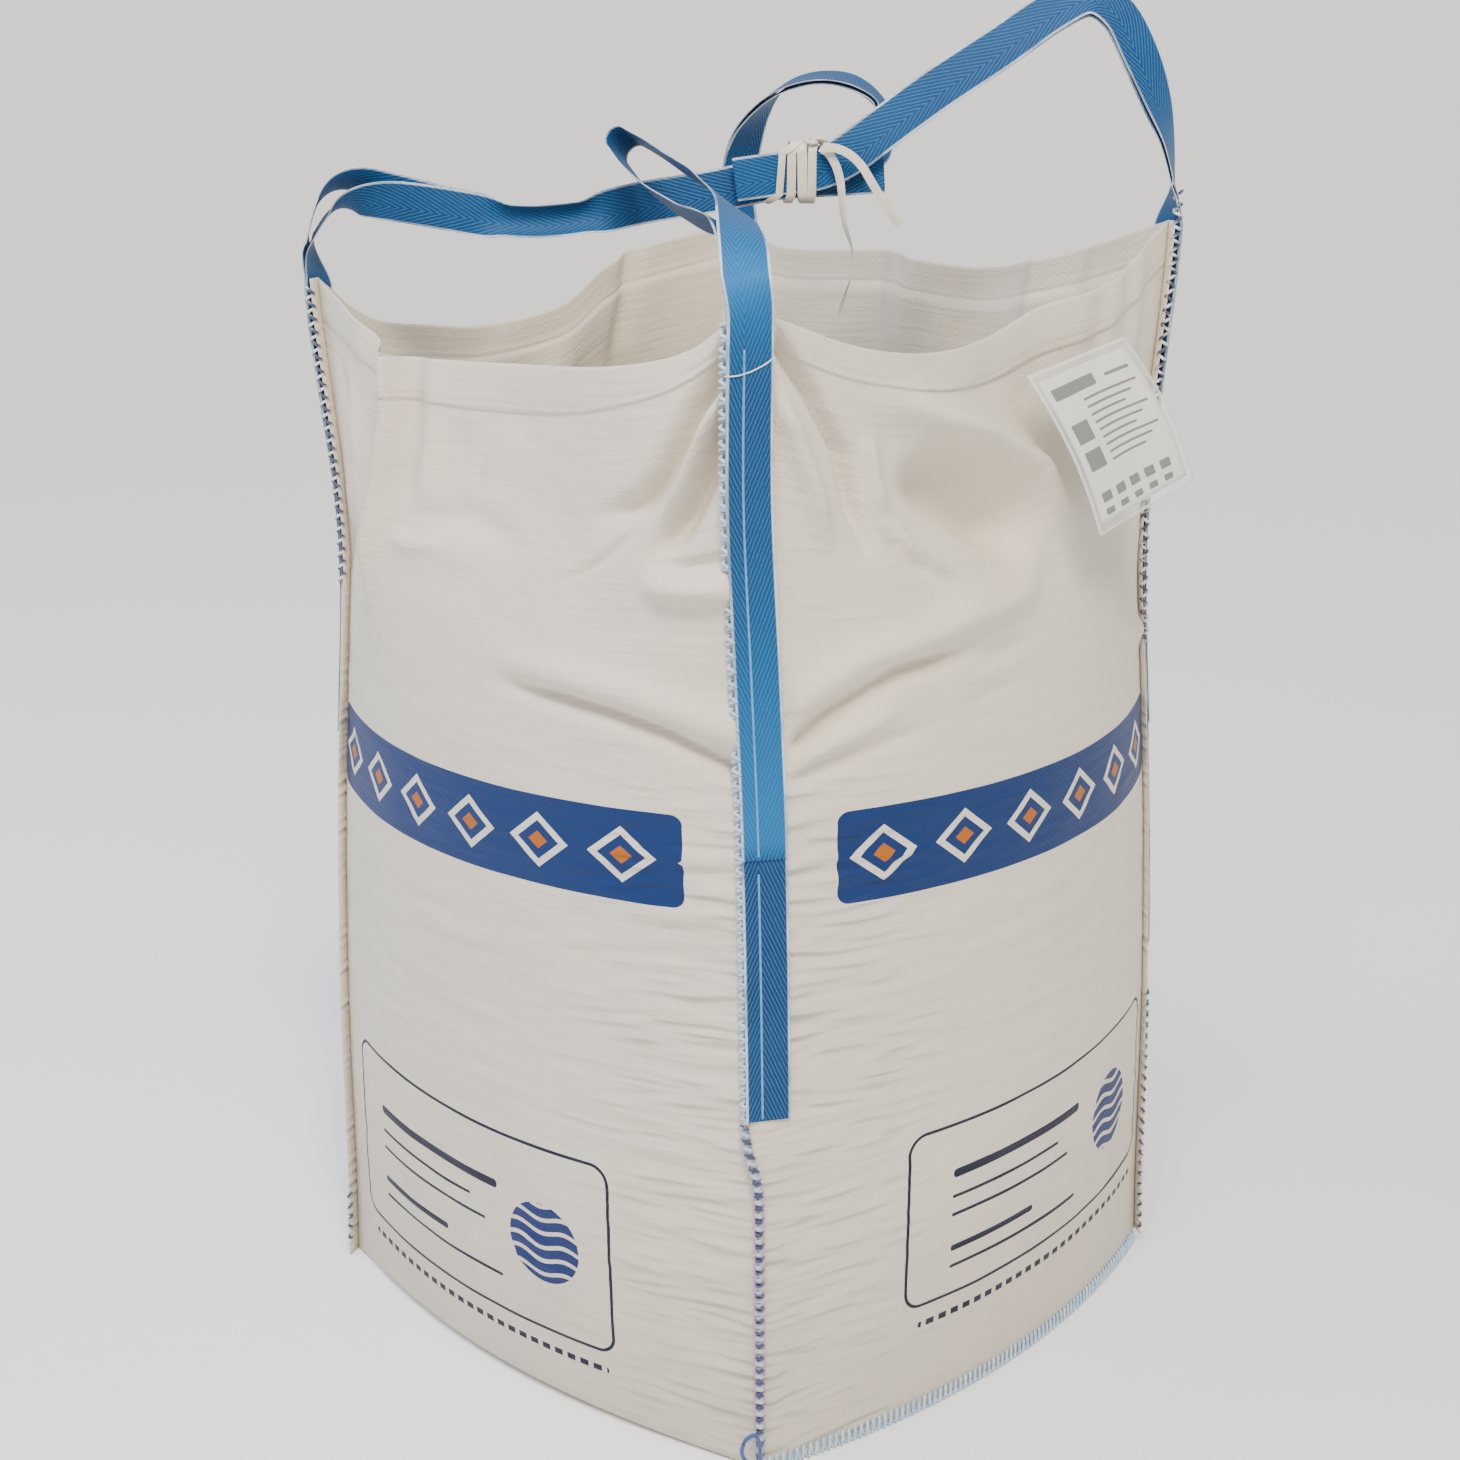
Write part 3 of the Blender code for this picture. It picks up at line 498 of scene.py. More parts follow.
def skin(rings, closed=False):
    """Faces over rings of points, with both ends shut unless the last ring joins the first."""
    index = numbered(rings)
    if closed:
        index = np.concatenate([index, index[:1]])
    faces = grid_faces(np.concatenate([index, index[:, :1]], 1), turned=True)
    if not closed:
        faces += [index[0].tolist(), index[-1][::-1].tolist()]
    return faces


def as_one(parts):
    """Several (rings, faces) parts as the points and faces of one mesh."""
    points, faces, count = [], [], 0
    for rings, part_faces in parts:
        points.append(rings.reshape(-1, 3))
        faces += [[i + count for i in face] for face in part_faces]
        count += len(points[-1])
    return np.concatenate(points), faces


def mark_cloth(mesh, middle=0.0):
    """Choose the pair of cloth_layers for each face, by its place on the cloth."""
    places = mesh.uv_layers["cloth"].data
    for face in mesh.polygons:
        across = sum(places[i].uv[0] for i in face.loop_indices) / len(face.loop_indices)
        if HALF_FACE < abs(across - middle) < HALF_FACE + FLANGE:
            face.material_index = 4
        elif across > PLAIN_FROM:
            face.material_index = 2


def thicken(piece, thickness, inner_slot=1):
    """Give a sheet its thickness inwards, with the next material on its inner side."""
    solid = piece.modifiers.new("thickness", "SOLIDIFY")
    solid.thickness = thickness
    solid.offset = -1
    solid.use_even_offset = False
    solid.material_offset = inner_slot
    solid.material_offset_rim = 0


print("a strip of two quads:", grid_faces(numbered(np.zeros((2, 3, 3)))))

# %% [markdown]
# ## Materials
# Each material starts from the real one. The cloth is woven from flat polypropylene tapes, matt with
# a faint sheen and a fine checked relief. The webbing is a blue polypropylene herringbone, and the
# thread is polyester. A picture could colour them, but it would have edges and a fixed sharpness, so
# they are made of nodes. Colours are sRGB values that one function turns to linear, and one function
# adds a node. A value that is the same all over goes on the shader itself.

# %% Colour and node helpers


def linear(hex_colour):
    """An sRGB hex colour as the linear values that a shader takes."""
    parts = [int(hex_colour[i:i + 2], 16) / 255 for i in (0, 2, 4)]
    return tuple(p / 12.92 if p <= .04045 else ((p + .055) / 1.055) ** 2.4 for p in parts) + (1,)


def set_inputs(tree, node, inputs):
    """Give a node's inputs their values, or the outputs that feed them."""
    for key, value in inputs.items():
        if isinstance(value, bpy.types.NodeSocket):
            tree.links.new(value, node.inputs[key])
        else:
            node.inputs[key].default_value = value


def add_node(tree, kind, inputs, output=0, **settings):
    """Add a node with its settings and inputs, and give the output that is wanted of it."""
    node = tree.nodes.new("ShaderNode" + kind)
    for name, value in settings.items():
        setattr(node, name, value)
    set_inputs(tree, node, inputs)
    return node.outputs[output]


def new_material(name, **inputs):
    """A material, its node tree and its shader."""
    material = bpy.data.materials.new(name)
    material.use_nodes = True
    tree = material.node_tree
    shader = tree.nodes["Principled BSDF"]
    set_inputs(tree, shader, {key.replace("_", " "): value for key, value in inputs.items()})
    return material, tree, shader


# What makes a Mix node mix two colours, and a Map Range node ease in and out
COLOURS = {"output": 2, "data_type": "RGBA"}
EASED = {"interpolation_type": "SMOOTHSTEP"}
print("linear of mid grey:", [round(x, 3) for x in linear("808080")])

# %% Boxes with round corners


def box_distance(tree, uv, box, corner):
    """Distance to the outline of a box with round corners, less than 0 inside it."""
    low, high = Vector(box[0]), Vector(box[1])
    middle, half = (low + high) / 2, (high - low) / 2
    inner = (half.x - corner, half.y - corner, 1)
    off = add_node(tree, "VectorMath", {0: uv, 1: (*middle, 0)}, operation="SUBTRACT")
    off = add_node(tree, "VectorMath", {0: off}, operation="ABSOLUTE")
    off = add_node(tree, "VectorMath", {0: off, 1: inner}, operation="SUBTRACT")
    off = add_node(tree, "VectorMath", {0: off, 1: (0, 0, 0)}, operation="MAXIMUM")
    away = add_node(tree, "VectorMath", {0: off}, "Value", operation="LENGTH")
    return add_node(tree, "Math", {0: away, 1: corner}, operation="SUBTRACT")


def filled_boxes(tree, uv, boxes):
    """1 inside any of several boxes, given as low and high corner and radius, else 0."""
    ink = None
    for low, high, corner in boxes:
        distance = box_distance(tree, uv, (low, high), corner)
        box = add_node(tree, "Math", {0: distance, 1: 0.0}, operation="LESS_THAN")
        ink = add_node(tree, "Math", {0: ink, 1: box}, operation="MAXIMUM") if ink else box
    return ink


print("boxes ready")

# %% [markdown]
# ### Woven cloth and its prints
# The prints are simple generic figures in the blue, white and orange of such bags: a long blue band
# with lozenges, and lower down a thin frame with a striped disc and ruled lines. They could be thin
# meshes over the cloth, but ink has no thickness and takes the weave's relief. So they are drawn in
# the cloth's own material, from its UV map, which is in metres, and they bend with the cloth.

# %% Sizes and colours of the print
WEAVE = 0.0040              # tape width; the real one is about 2.5 mm, too fine for the picture
# The third colour is painted shade, for cloth that is darker towards the foot.
CLOTH_WARM, CLOTH_COOL, CLOTH_PAINTED_SHADE = linear("DDD0BC"), linear("CFC8BB"), linear("A0978A")
INNER_CLEAN, INNER_DUSTY = linear("E4DAC6"), linear("9A958B")
PRINT_BLUE, PRINT_WHITE = linear("00275C"), linear("D2CDC2")
PRINT_ORANGE, PRINT_INK, PRINT_DISC = linear("A85A00"), linear("030728"), linear("04205A")
BAND = {"front": ((-.352, .672), (.288, .776)), "right": ((-.277, .672), (.352, .776))}
BAND_CORNER = 0.012
LOZENGE_PITCH, LOZENGE_FLAT = 0.104, 1.25      # the lozenges are wider than tall
RING_AT, RING_HALF, CORE_TO = 0.034, 0.0060, 0.013      # white ring and orange core of a lozenge
FRAME = {"front": ((-.300, .098), (.184, .340)), "right": ((-.184, .150), (.330, .372))}
FRAME_CORNER, FRAME_LINE = 0.022, 0.0042
DISC = {"front": (.090, .215), "right": (.215, .262)}
DISC_SIZE = 0.052
STRIPE_PITCH, STRIPE_WIDE, STRIPE_WAVE, WAVES = 0.018, 0.0125, 0.004, 90.0
DASH_PITCH, DASH_LONG = 0.019, 0.012
RULES = {"front": (-.235, .020), "right": (-.120, .120)}      # from and to, along the wall
RULE_ROWS = ((.268, 1.0, .0055), (.238, .8, .0022), (.214, .9, .0022), (.170, .6, .0040),
             (.146, 1.0, .0022))
RULE_LIFT = {"front": 0.0, "right": 0.040}
print("band:", LOZENGE_PITCH, "m from lozenge to lozenge")

# %% Relief of the cloth
CRINKLE_FROM = 0.06         # from here on towards the near seam the cloth is crinkled
CRINKLE_CELLS = (11, 62, 0)      # crinkles for each metre along the wall and up it
PUCKER_CELLS = (9, 120, 0)


def crinkles(tree, uv, face):
    """Sharp level wrinkles where the filling pulls at a seam."""
    u, v, _ = add_node(tree, "SeparateXYZ", {0: uv}).node.outputs
    stretched = add_node(tree, "VectorMath", {0: uv, 1: CRINKLE_CELLS}, operation="MULTIPLY")
    ridges = add_node(tree, "TexNoise",
                      {"Vector": stretched, "Scale": 1.0, "Detail": 2.0, "Roughness": .5},
                      noise_type="RIDGED_MULTIFRACTAL", normalize=True)
    if face:
        side = 1 if face == "front" else -1
        beside = add_node(tree, "MapRange", {0: u, 1: side * CRINKLE_FROM, 2: side * HALF_FACE,
                                             3: .10, 4: 1.0}, **EASED)
    else:
        away = add_node(tree, "Math", {0: u, 1: 1.0, 2: -1.0}, operation="WRAP")
        away = add_node(tree, "Math", {0: away}, operation="ABSOLUTE")
        beside = add_node(tree, "MapRange",
                          {0: away, 1: CRINKLE_FROM, 2: HALF_FACE, 3: .12, 4: .75}, **EASED)
    below = add_node(tree, "MapRange",
                     {0: v, 1: FILL + .06, 2: FILL - .06, 3: .12, 4: 1.0}, **EASED)
    share = add_node(tree, "Math", {0: beside, 1: below}, operation="MULTIPLY")
    return add_node(tree, "Math", {0: ridges, 1: share}, operation="MULTIPLY")


def cloth_relief(tree, uv):
    """Checked relief of the weave, and fine level puckers."""
    scaled = add_node(tree, "VectorMath", {0: uv, 1: (pi / WEAVE, pi / WEAVE, 0)},
                      operation="MULTIPLY")
    waves = add_node(tree, "VectorMath", {0: scaled}, operation="SINE")
    over, under, _ = add_node(tree, "SeparateXYZ", {0: waves}).node.outputs
    check = add_node(tree, "Math", {0: over, 1: under}, operation="MULTIPLY")
    weave = add_node(tree, "Bump", {"Strength": .22, "Distance": .0006, "Height": check})
    stretched = add_node(tree, "VectorMath", {0: uv, 1: PUCKER_CELLS}, operation="MULTIPLY")
    fine = add_node(tree, "TexNoise",
                    {"Vector": stretched, "Scale": 1.0, "Detail": 3.0, "Roughness": .55})
    return add_node(tree, "Bump",
                    {"Strength": .55, "Distance": .0026, "Height": fine, "Normal": weave})


print("tapes of", WEAVE * 1000, "mm")

# %% Prints


def band_colours(tree, uv, colour, box):
    """The blue band with its row of lozenges."""
    blue = filled_boxes(tree, uv, [(*box, BAND_CORNER)])
    middle = (box[0][1] + box[1][1]) / 2
    half = LOZENGE_PITCH / 2
    off = add_node(tree, "VectorMath", {0: uv, 1: (box[0][0] + half, middle, 0)},
                   operation="SUBTRACT")
    off = add_node(tree, "VectorMath", {0: off, 1: (half, 1, 1), 2: (-half, -1, -1)},
                   operation="WRAP")
    off = add_node(tree, "VectorMath", {0: off}, operation="ABSOLUTE")
    away = add_node(tree, "VectorMath", {0: off, 1: (1.0, LOZENGE_FLAT, 0)}, "Value",
                    operation="DOT_PRODUCT")
    ring = add_node(tree, "Math", {0: away, 1: RING_AT, 2: RING_HALF}, operation="COMPARE")
    core = add_node(tree, "Math", {0: away, 1: CORE_TO}, operation="LESS_THAN")
    colour = add_node(tree, "Mix", {0: blue, 6: colour, 7: PRINT_BLUE}, **COLOURS)
    for part, ink in ((ring, PRINT_WHITE), (core, PRINT_ORANGE)):
        share = add_node(tree, "Math", {0: part, 1: blue}, operation="MULTIPLY")
        colour = add_node(tree, "Mix", {0: share, 6: colour, 7: ink}, **COLOURS)
    return colour


def frame_colours(tree, uv, colour, face):
    """The thin frame, its disc of level stripes and its ruled lines."""
    u, v, _ = add_node(tree, "SeparateXYZ", {0: uv}).node.outputs
    low, high = (tuple(x + s * DISC_SIZE for x in DISC[face]) for s in (-1, 1))
    disc = filled_boxes(tree, uv, [(low, high, DISC_SIZE - .0001)])
    wave = add_node(tree, "Math", {0: u, 1: WAVES}, operation="MULTIPLY")
    wave = add_node(tree, "Math", {0: wave}, operation="SINE")
    lifted = add_node(tree, "Math", {0: wave, 1: STRIPE_WAVE, 2: v}, operation="MULTIPLY_ADD")
    stripe = add_node(tree, "Math", {0: lifted, 1: STRIPE_PITCH}, operation="FLOORED_MODULO")
    stripe = add_node(tree, "Math", {0: stripe, 1: STRIPE_WIDE}, operation="LESS_THAN")
    disc = add_node(tree, "Math", {0: disc, 1: stripe}, operation="MULTIPLY")
    colour = add_node(tree, "Mix", {0: disc, 6: colour, 7: PRINT_DISC}, **COLOURS)

    outline = box_distance(tree, uv, FRAME[face], FRAME_CORNER)
    line = add_node(tree, "Math", {0: outline, 1: 0.0, 2: FRAME_LINE / 2}, operation="COMPARE")
    start, stop = RULES[face]
    rules = []
    for height, share, thick in RULE_ROWS:
        low = height + RULE_LIFT[face] - thick
        rules.append(((start, low), (start + (stop - start) * share, low + 2 * thick), thick * .9))
    rules = filled_boxes(tree, uv, rules)
    (left, low), (right, _) = FRAME[face]
    row = filled_boxes(tree, uv, [((left + .02, low - .030), (right - .01, low - .022), .003)])
    dash = add_node(tree, "Math", {0: u, 1: DASH_PITCH}, operation="FLOORED_MODULO")
    dash = add_node(tree, "Math", {0: dash, 1: DASH_LONG}, operation="LESS_THAN")
    row = add_node(tree, "Math", {0: row, 1: dash}, operation="MULTIPLY")
    for part in (rules, row):
        line = add_node(tree, "Math", {0: line, 1: part}, operation="MAXIMUM")
    return add_node(tree, "Mix", {0: line, 6: colour, 7: PRINT_INK}, **COLOURS)


print("prints:", sorted(BAND))

# %% Cloth
PAINTED_SHADE_TO, PAINTED_SHADE_FROM = 0.62, 0.08      # painted shade, darkest from the lower height and none over the upper
DUSTY_FROM, DUSTY_TO = FILL + .04, FILL + .34


def woven_cloth(name, face=None):
    """Woven polypropylene: matt, because its tapes scatter the light, with a faint sheen."""
    material, tree, shader = new_material(name, Roughness=.60, Sheen_Weight=.04,
                                          Sheen_Roughness=.5, Specular_IOR_Level=.30)
    uv = add_node(tree, "UVMap", {})
    _, v, _ = add_node(tree, "SeparateXYZ", {0: uv}).node.outputs
    patches = add_node(tree, "TexNoise", {"Vector": uv, "Scale": 5.0, "Detail": 3.0})
    colour = add_node(tree, "Mix", {0: patches, 6: CLOTH_WARM, 7: CLOTH_COOL}, **COLOURS)
    # The lower the cloth, the darker it is painted, in clouds: painted shade.
    cloud = add_node(tree, "TexNoise", {"Vector": uv, "Scale": 11.0, "Detail": 6.0})
    level = add_node(tree, "Math", {0: cloud, 1: .30, 2: v}, operation="MULTIPLY_ADD")
    painted_shade = add_node(tree, "MapRange",
                      {0: level, 1: PAINTED_SHADE_TO, 2: PAINTED_SHADE_FROM, 3: 0.0, 4: .42}, **EASED)
    colour = add_node(tree, "Mix", {0: painted_shade, 6: colour, 7: CLOTH_PAINTED_SHADE}, **COLOURS)
    if face:
        colour = band_colours(tree, uv, colour, BAND[face])
        colour = frame_colours(tree, uv, colour, face)
    sharp = add_node(tree, "Bump", {"Strength": .9, "Distance": .015,
                                    "Height": crinkles(tree, uv, face),
                                    "Normal": cloth_relief(tree, uv)})
    set_inputs(tree, shader, {"Base Color": colour, "Normal": sharp})
    return material


def inner_cloth():
    """The inner side is coated, duller, and greyed by dust down to the filling."""
    material, tree, shader = new_material("coated inner side of woven cloth", Roughness=.75)
    place = add_node(tree, "TexCoord", {}, "Object")
    _, _, up = add_node(tree, "SeparateXYZ", {0: place}).node.outputs
    cloud = add_node(tree, "TexNoise", {"Vector": place, "Scale": 9.0, "Detail": 5.0})
    level = add_node(tree, "Math", {0: cloud, 1: .16, 2: up}, operation="MULTIPLY_ADD")
    dusty = add_node(tree, "MapRange", {0: level, 1: DUSTY_FROM, 2: DUSTY_TO, 3: .85, 4: .10})
    colour = add_node(tree, "Mix", {0: dusty, 6: INNER_CLEAN, 7: INNER_DUSTY}, **COLOURS)
    normal = cloth_relief(tree, add_node(tree, "UVMap", {}))
    set_inputs(tree, shader, {"Base Color": colour, "Normal": normal})
    return material


cloth_front = woven_cloth("printed woven polypropylene, front", "front")
cloth_right = woven_cloth("printed woven polypropylene, right", "right")
cloth_plain = woven_cloth("woven polypropylene")
cloth_inside = inner_cloth()


def cloth_layers(printed):
    """Pairs of outer and inner side: printed wall, plain wall, seam allowance."""
    return [printed, cloth_inside, cloth_plain, cloth_inside, cloth_plain, cloth_plain]


print("cloth materials made")

# %% Front, base and rear in one piece
FRONT_COLUMNS, FRONT_ROWS = 130, 236
REAR_ROWS = 76
REAR_SHIFT = 2.0            # the rear's and the base's place on the UV map, clear of the prints
BASE_STEPS = 22
BASE_LONG = .75             # length of the base on the UV map
SEAM_GAP = 0.002            # the walls end this far from the seam line, under the allowance
EDGE = 1 - SEAM_GAP / HALF_FACE


def base_rows(front_edge, rear_edge):
    """Rows of the base, stretched between the lower edges of front and rear."""
    place = np.linspace(-1, 1, FRONT_COLUMNS + 1)
    for step in range(1, BASE_STEPS):
        t = step / BASE_STEPS
        row = front_edge * (1 - t) + rear_edge[::-1] * t
        swell = through(BULGE, 0.0) * (1 - (2 * t - 1) ** 2)
        row[:, 0] += swell * place
        along = np.full(len(place), -t * BASE_LONG)
        yield row, np.stack([place * HALF_FACE + REAR_SHIFT, along], -1)


def build_u_panel():
    front, front_uv = wall("front", -EDGE, EDGE, FRONT_COLUMNS, FRONT_ROWS)
    rear, rear_uv = wall("rear", -EDGE, EDGE, FRONT_COLUMNS, REAR_ROWS)
    heights = rear_uv[..., 1]
    for column, place in ((0, -1.0), (-1, 1.0)):
        rear[1:, column] = face_point("rear", place, heights[1:, column])
    rear_uv[..., 0] += REAR_SHIFT
    points = [front.reshape(-1, 3), rear.reshape(-1, 3)]
    places = [front_uv.reshape(-1, 2), rear_uv.reshape(-1, 2)]
    front_index = numbered(front)
    rear_index = numbered(rear, front_index.size)
    faces = grid_faces(front_index) + grid_faces(rear_index)
    count = front_index.size + rear_index.size
    index = [front_index[0]]
    for row, row_uv in base_rows(front[0], rear[0]):
        points.append(row)
        places.append(row_uv)
        index.append(count + np.arange(len(row)))
        count += len(row)
    index.append(rear_index[0][::-1])
    faces += grid_faces(np.array(index), turned=True)
    # The rear carries the seam allowances of the right and the back corner.
    for column, corner, place, turned in ((0, "right", -1.0, False), (-1, "back", 1.0, True)):
        column_heights = heights[1:, column]
        strip = flange_point(corner, "rear", place, column_heights)
        points.append(strip)
        reach = np.full(len(strip), REAR_SHIFT + place * (HALF_FACE + FLANGE))
        places.append(np.stack([reach, column_heights], -1))
        outer = count + np.arange(len(strip))
        count += len(strip)
        faces += grid_faces(np.stack([outer, rear_index[1:, column]], 1), turned=turned)
    mesh = mesh_of("bag_front_base_rear", np.concatenate(points), faces, np.concatenate(places))
    mark_cloth(mesh, REAR_SHIFT)
    piece = new_piece("bag_front_base_rear", mesh, cloth_layers(cloth_front),
                      "u_panel")
    thicken(piece, CLOTH)
    return piece


u_panel = build_u_panel()
print("front, base and rear:", len(u_panel.data.polygons), "faces")

# %% Side pieces
SIDES = {"right": ("bag_right_side", "side_panel_right", True, 130, 236),
         "left": ("bag_left_side", "side_panel_left", False, 84, 110)}


def build_side(face):
    """A side piece, with the seam allowance of its corner on one side."""
    name, node, at_start, columns, rows = SIDES[face]
    first, last = (-1, EDGE) if at_start else (-EDGE, 1)
    points, uv = wall(face, first, last, columns, rows)
    column, place, corner = (0, -1.0, "near") if at_start else (-1, 1.0, "left")
    heights = uv[:, column, 1]
    for share in (.5, 1.0):
        strip = flange_point(corner, face, place, heights, share)[:, None]
        reach = np.full(len(heights), place * (HALF_FACE + FLANGE * share))
        strip_uv = np.stack([reach, heights], -1)[:, None]
        points = np.concatenate([strip, points] if at_start else [points, strip], 1)
        uv = np.concatenate([strip_uv, uv] if at_start else [uv, strip_uv], 1)
    mesh = mesh_of(name, points, grid_faces(numbered(points)), uv)
    mark_cloth(mesh)
    layers = cloth_layers(cloth_right if at_start else cloth_plain)
    piece = new_piece(name, mesh, layers, node)
    thicken(piece, CLOTH)
    return piece


sides = {face: build_side(face) for face in SIDES}
print("side pieces:", {face: len(piece.data.polygons) for face, piece in sides.items()})

# %% [markdown]
# ## The granite dust
# Dry stone dust settles to a low mound with small heaps and pits. A displaced grid would leave gaps
# at the walls, so it is one closed body: rings of points that follow the walls, then close over the
# mound. The grains are far too fine for geometry, so they are noise and bump in the material: grey,
# with pale and dark specks.

# %% Sizes and colours of the dust
DUST_SEGMENTS = 72          # for each wall
DUST_RINGS = 46
DUST_GRAIN = 0.0028         # size of the coarsest grains
DUST_SIDE = [.013, .03, .08, .2, .4, .6, .75]
MOUND_RISE = [(0, 1.0), (.34, .90), (.62, .62), (.86, .25), (1, 0)]
# Size and height of its heaps and lumps
HEAPS = [(.10, .0100), (.035, .0030), (.012, .0012)]
DUST_CLEAR, DUST_CLEAR_ROLL = 0.0018, 0.006      # how far it stays inside the cloth, and at the foot
DUST_FOOT = 0.955           # its underside is smaller, because the cloth turns in at the floor
DUST_GREY, DUST_PALE, GRAIN_DARK, GRAIN_PALE = (
    linear(tone) for tone in ("8E8A84", "A8A49C", "5A5754", "C2BCB2"))
print("dust up to", FILL + MOUND, "m")

# %% Dust
HEAP_SEED = 80
EDGE_RISE = .3              # the heaps are lower where the dust meets the cloth
GRAIN_SHARES = (.90, .10)      # the grains over the first are dark, and under the second pale


def dust_ring(height):
    """A ring of points just inside the walls, at a height."""
    place = np.linspace(-1, 1, DUST_SEGMENTS + 1)[:-1]
    ring = np.concatenate([face_point(face, place, np.full(place.shape, height))
                           for face in FACES])
    inward = CLOTH + 3 * GAP + (DUST_CLEAR_ROLL if height < ROLL else DUST_CLEAR)
    level = np.linalg.norm(ring[:, :2], axis=1)
    ring[:, :2] *= ((level - inward) / level)[:, None]
    ring[:, 2] = height
    return ring


def granite_dust():
    """Dry crushed granite: quite dull, and grey with pale feldspar and dark mica specks."""
    material, tree, shader = new_material("granite dust, 0 to 4 mm", Roughness=.96,
                                          Specular_IOR_Level=.2)
    place = add_node(tree, "TexCoord", {}, "Object")
    cloud = add_node(tree, "TexNoise", {"Vector": place, "Scale": 14.0, "Detail": 6.0})
    colour = add_node(tree, "Mix", {0: cloud, 6: DUST_GREY, 7: DUST_PALE}, **COLOURS)
    grains = add_node(tree, "TexVoronoi", {"Vector": place, "Scale": 1 / DUST_GRAIN}).node.outputs
    tone = add_node(tree, "SeparateColor", {0: grains["Color"]})
    for kind, limit, speck in zip(("GREATER_THAN", "LESS_THAN"), GRAIN_SHARES,
                                  (GRAIN_DARK, GRAIN_PALE)):
        share = add_node(tree, "Math", {0: tone, 1: limit}, operation=kind)
        colour = add_node(tree, "Mix", {0: share, 6: colour, 7: speck}, **COLOURS)
    rough = add_node(tree, "Bump",
                     {"Strength": .6, "Distance": .002, "Height": grains["Distance"]})
    set_inputs(tree, shader, {"Base Color": colour, "Normal": rough})
    return material


def build_dust():
    foot = dust_ring(DUST_SIDE[0])
    foot[:, :2] *= DUST_FOOT
    foot[:, 2] = CLOTH + 2 * GAP
    rings = [foot] + [dust_ring(height) for height in DUST_SIDE]
    edge = dust_ring(FILL)
    for k in range(DUST_RINGS):
        share = 1 - k / DUST_RINGS
        ring = edge.copy()
        ring[:, :2] *= share
        rise = MOUND * through(MOUND_RISE, share)
        for j, (size, height) in enumerate(HEAPS):
            rise = rise + height * rumple(ring[:, 0], ring[:, 1], size, size, HEAP_SEED + j)
        ring[:, 2] = FILL + rise * (1 if k else EDGE_RISE)
        rings.append(ring)
    index = numbered(np.array(rings))
    points = np.concatenate(rings + [np.array([[0.0, 0.0, FILL + MOUND]])])
    peak = len(points) - 1
    faces = grid_faces(np.concatenate([index, index[:, :1]], 1))
    faces += [[index[-1][i], index[-1][(i + 1) % len(edge)], peak] for i in range(len(edge))]
    faces.append(index[0][::-1].tolist())
    mesh = mesh_of("dust_fill", points, faces, sharp=1.0)
    return new_piece("dust_fill", mesh, [granite_dust()], "granite_dust")


dust = build_dust()
print("dust:", len(dust.data.polygons), "faces")

# %% [markdown]
# ## Lifting loops
# Each loop is one length of 50 mm webbing. It rises up the corner as the inner leg, runs out over
# the mouth, turns back and comes down as the outer leg. A curve with a bevel could make a strip, but
# it can't curl or thin out at its edges. So the strip is lofted: a cross-section of webbing is set
# at many stations along the way, and the sections are joined. The stations repeat the route of the
# solid model. Where the real webbing is rolled up, the section curls.

# %% Routes of the loops
WEB_WIDTH = 0.050
WEB_THICK = 0.0018
WEB_SIDE = WEB_WIDTH - FLANGE
OUTER_END = 0.735           # lower end of the outer leg
INNER_END = 0.437           # lower end of the leg under it
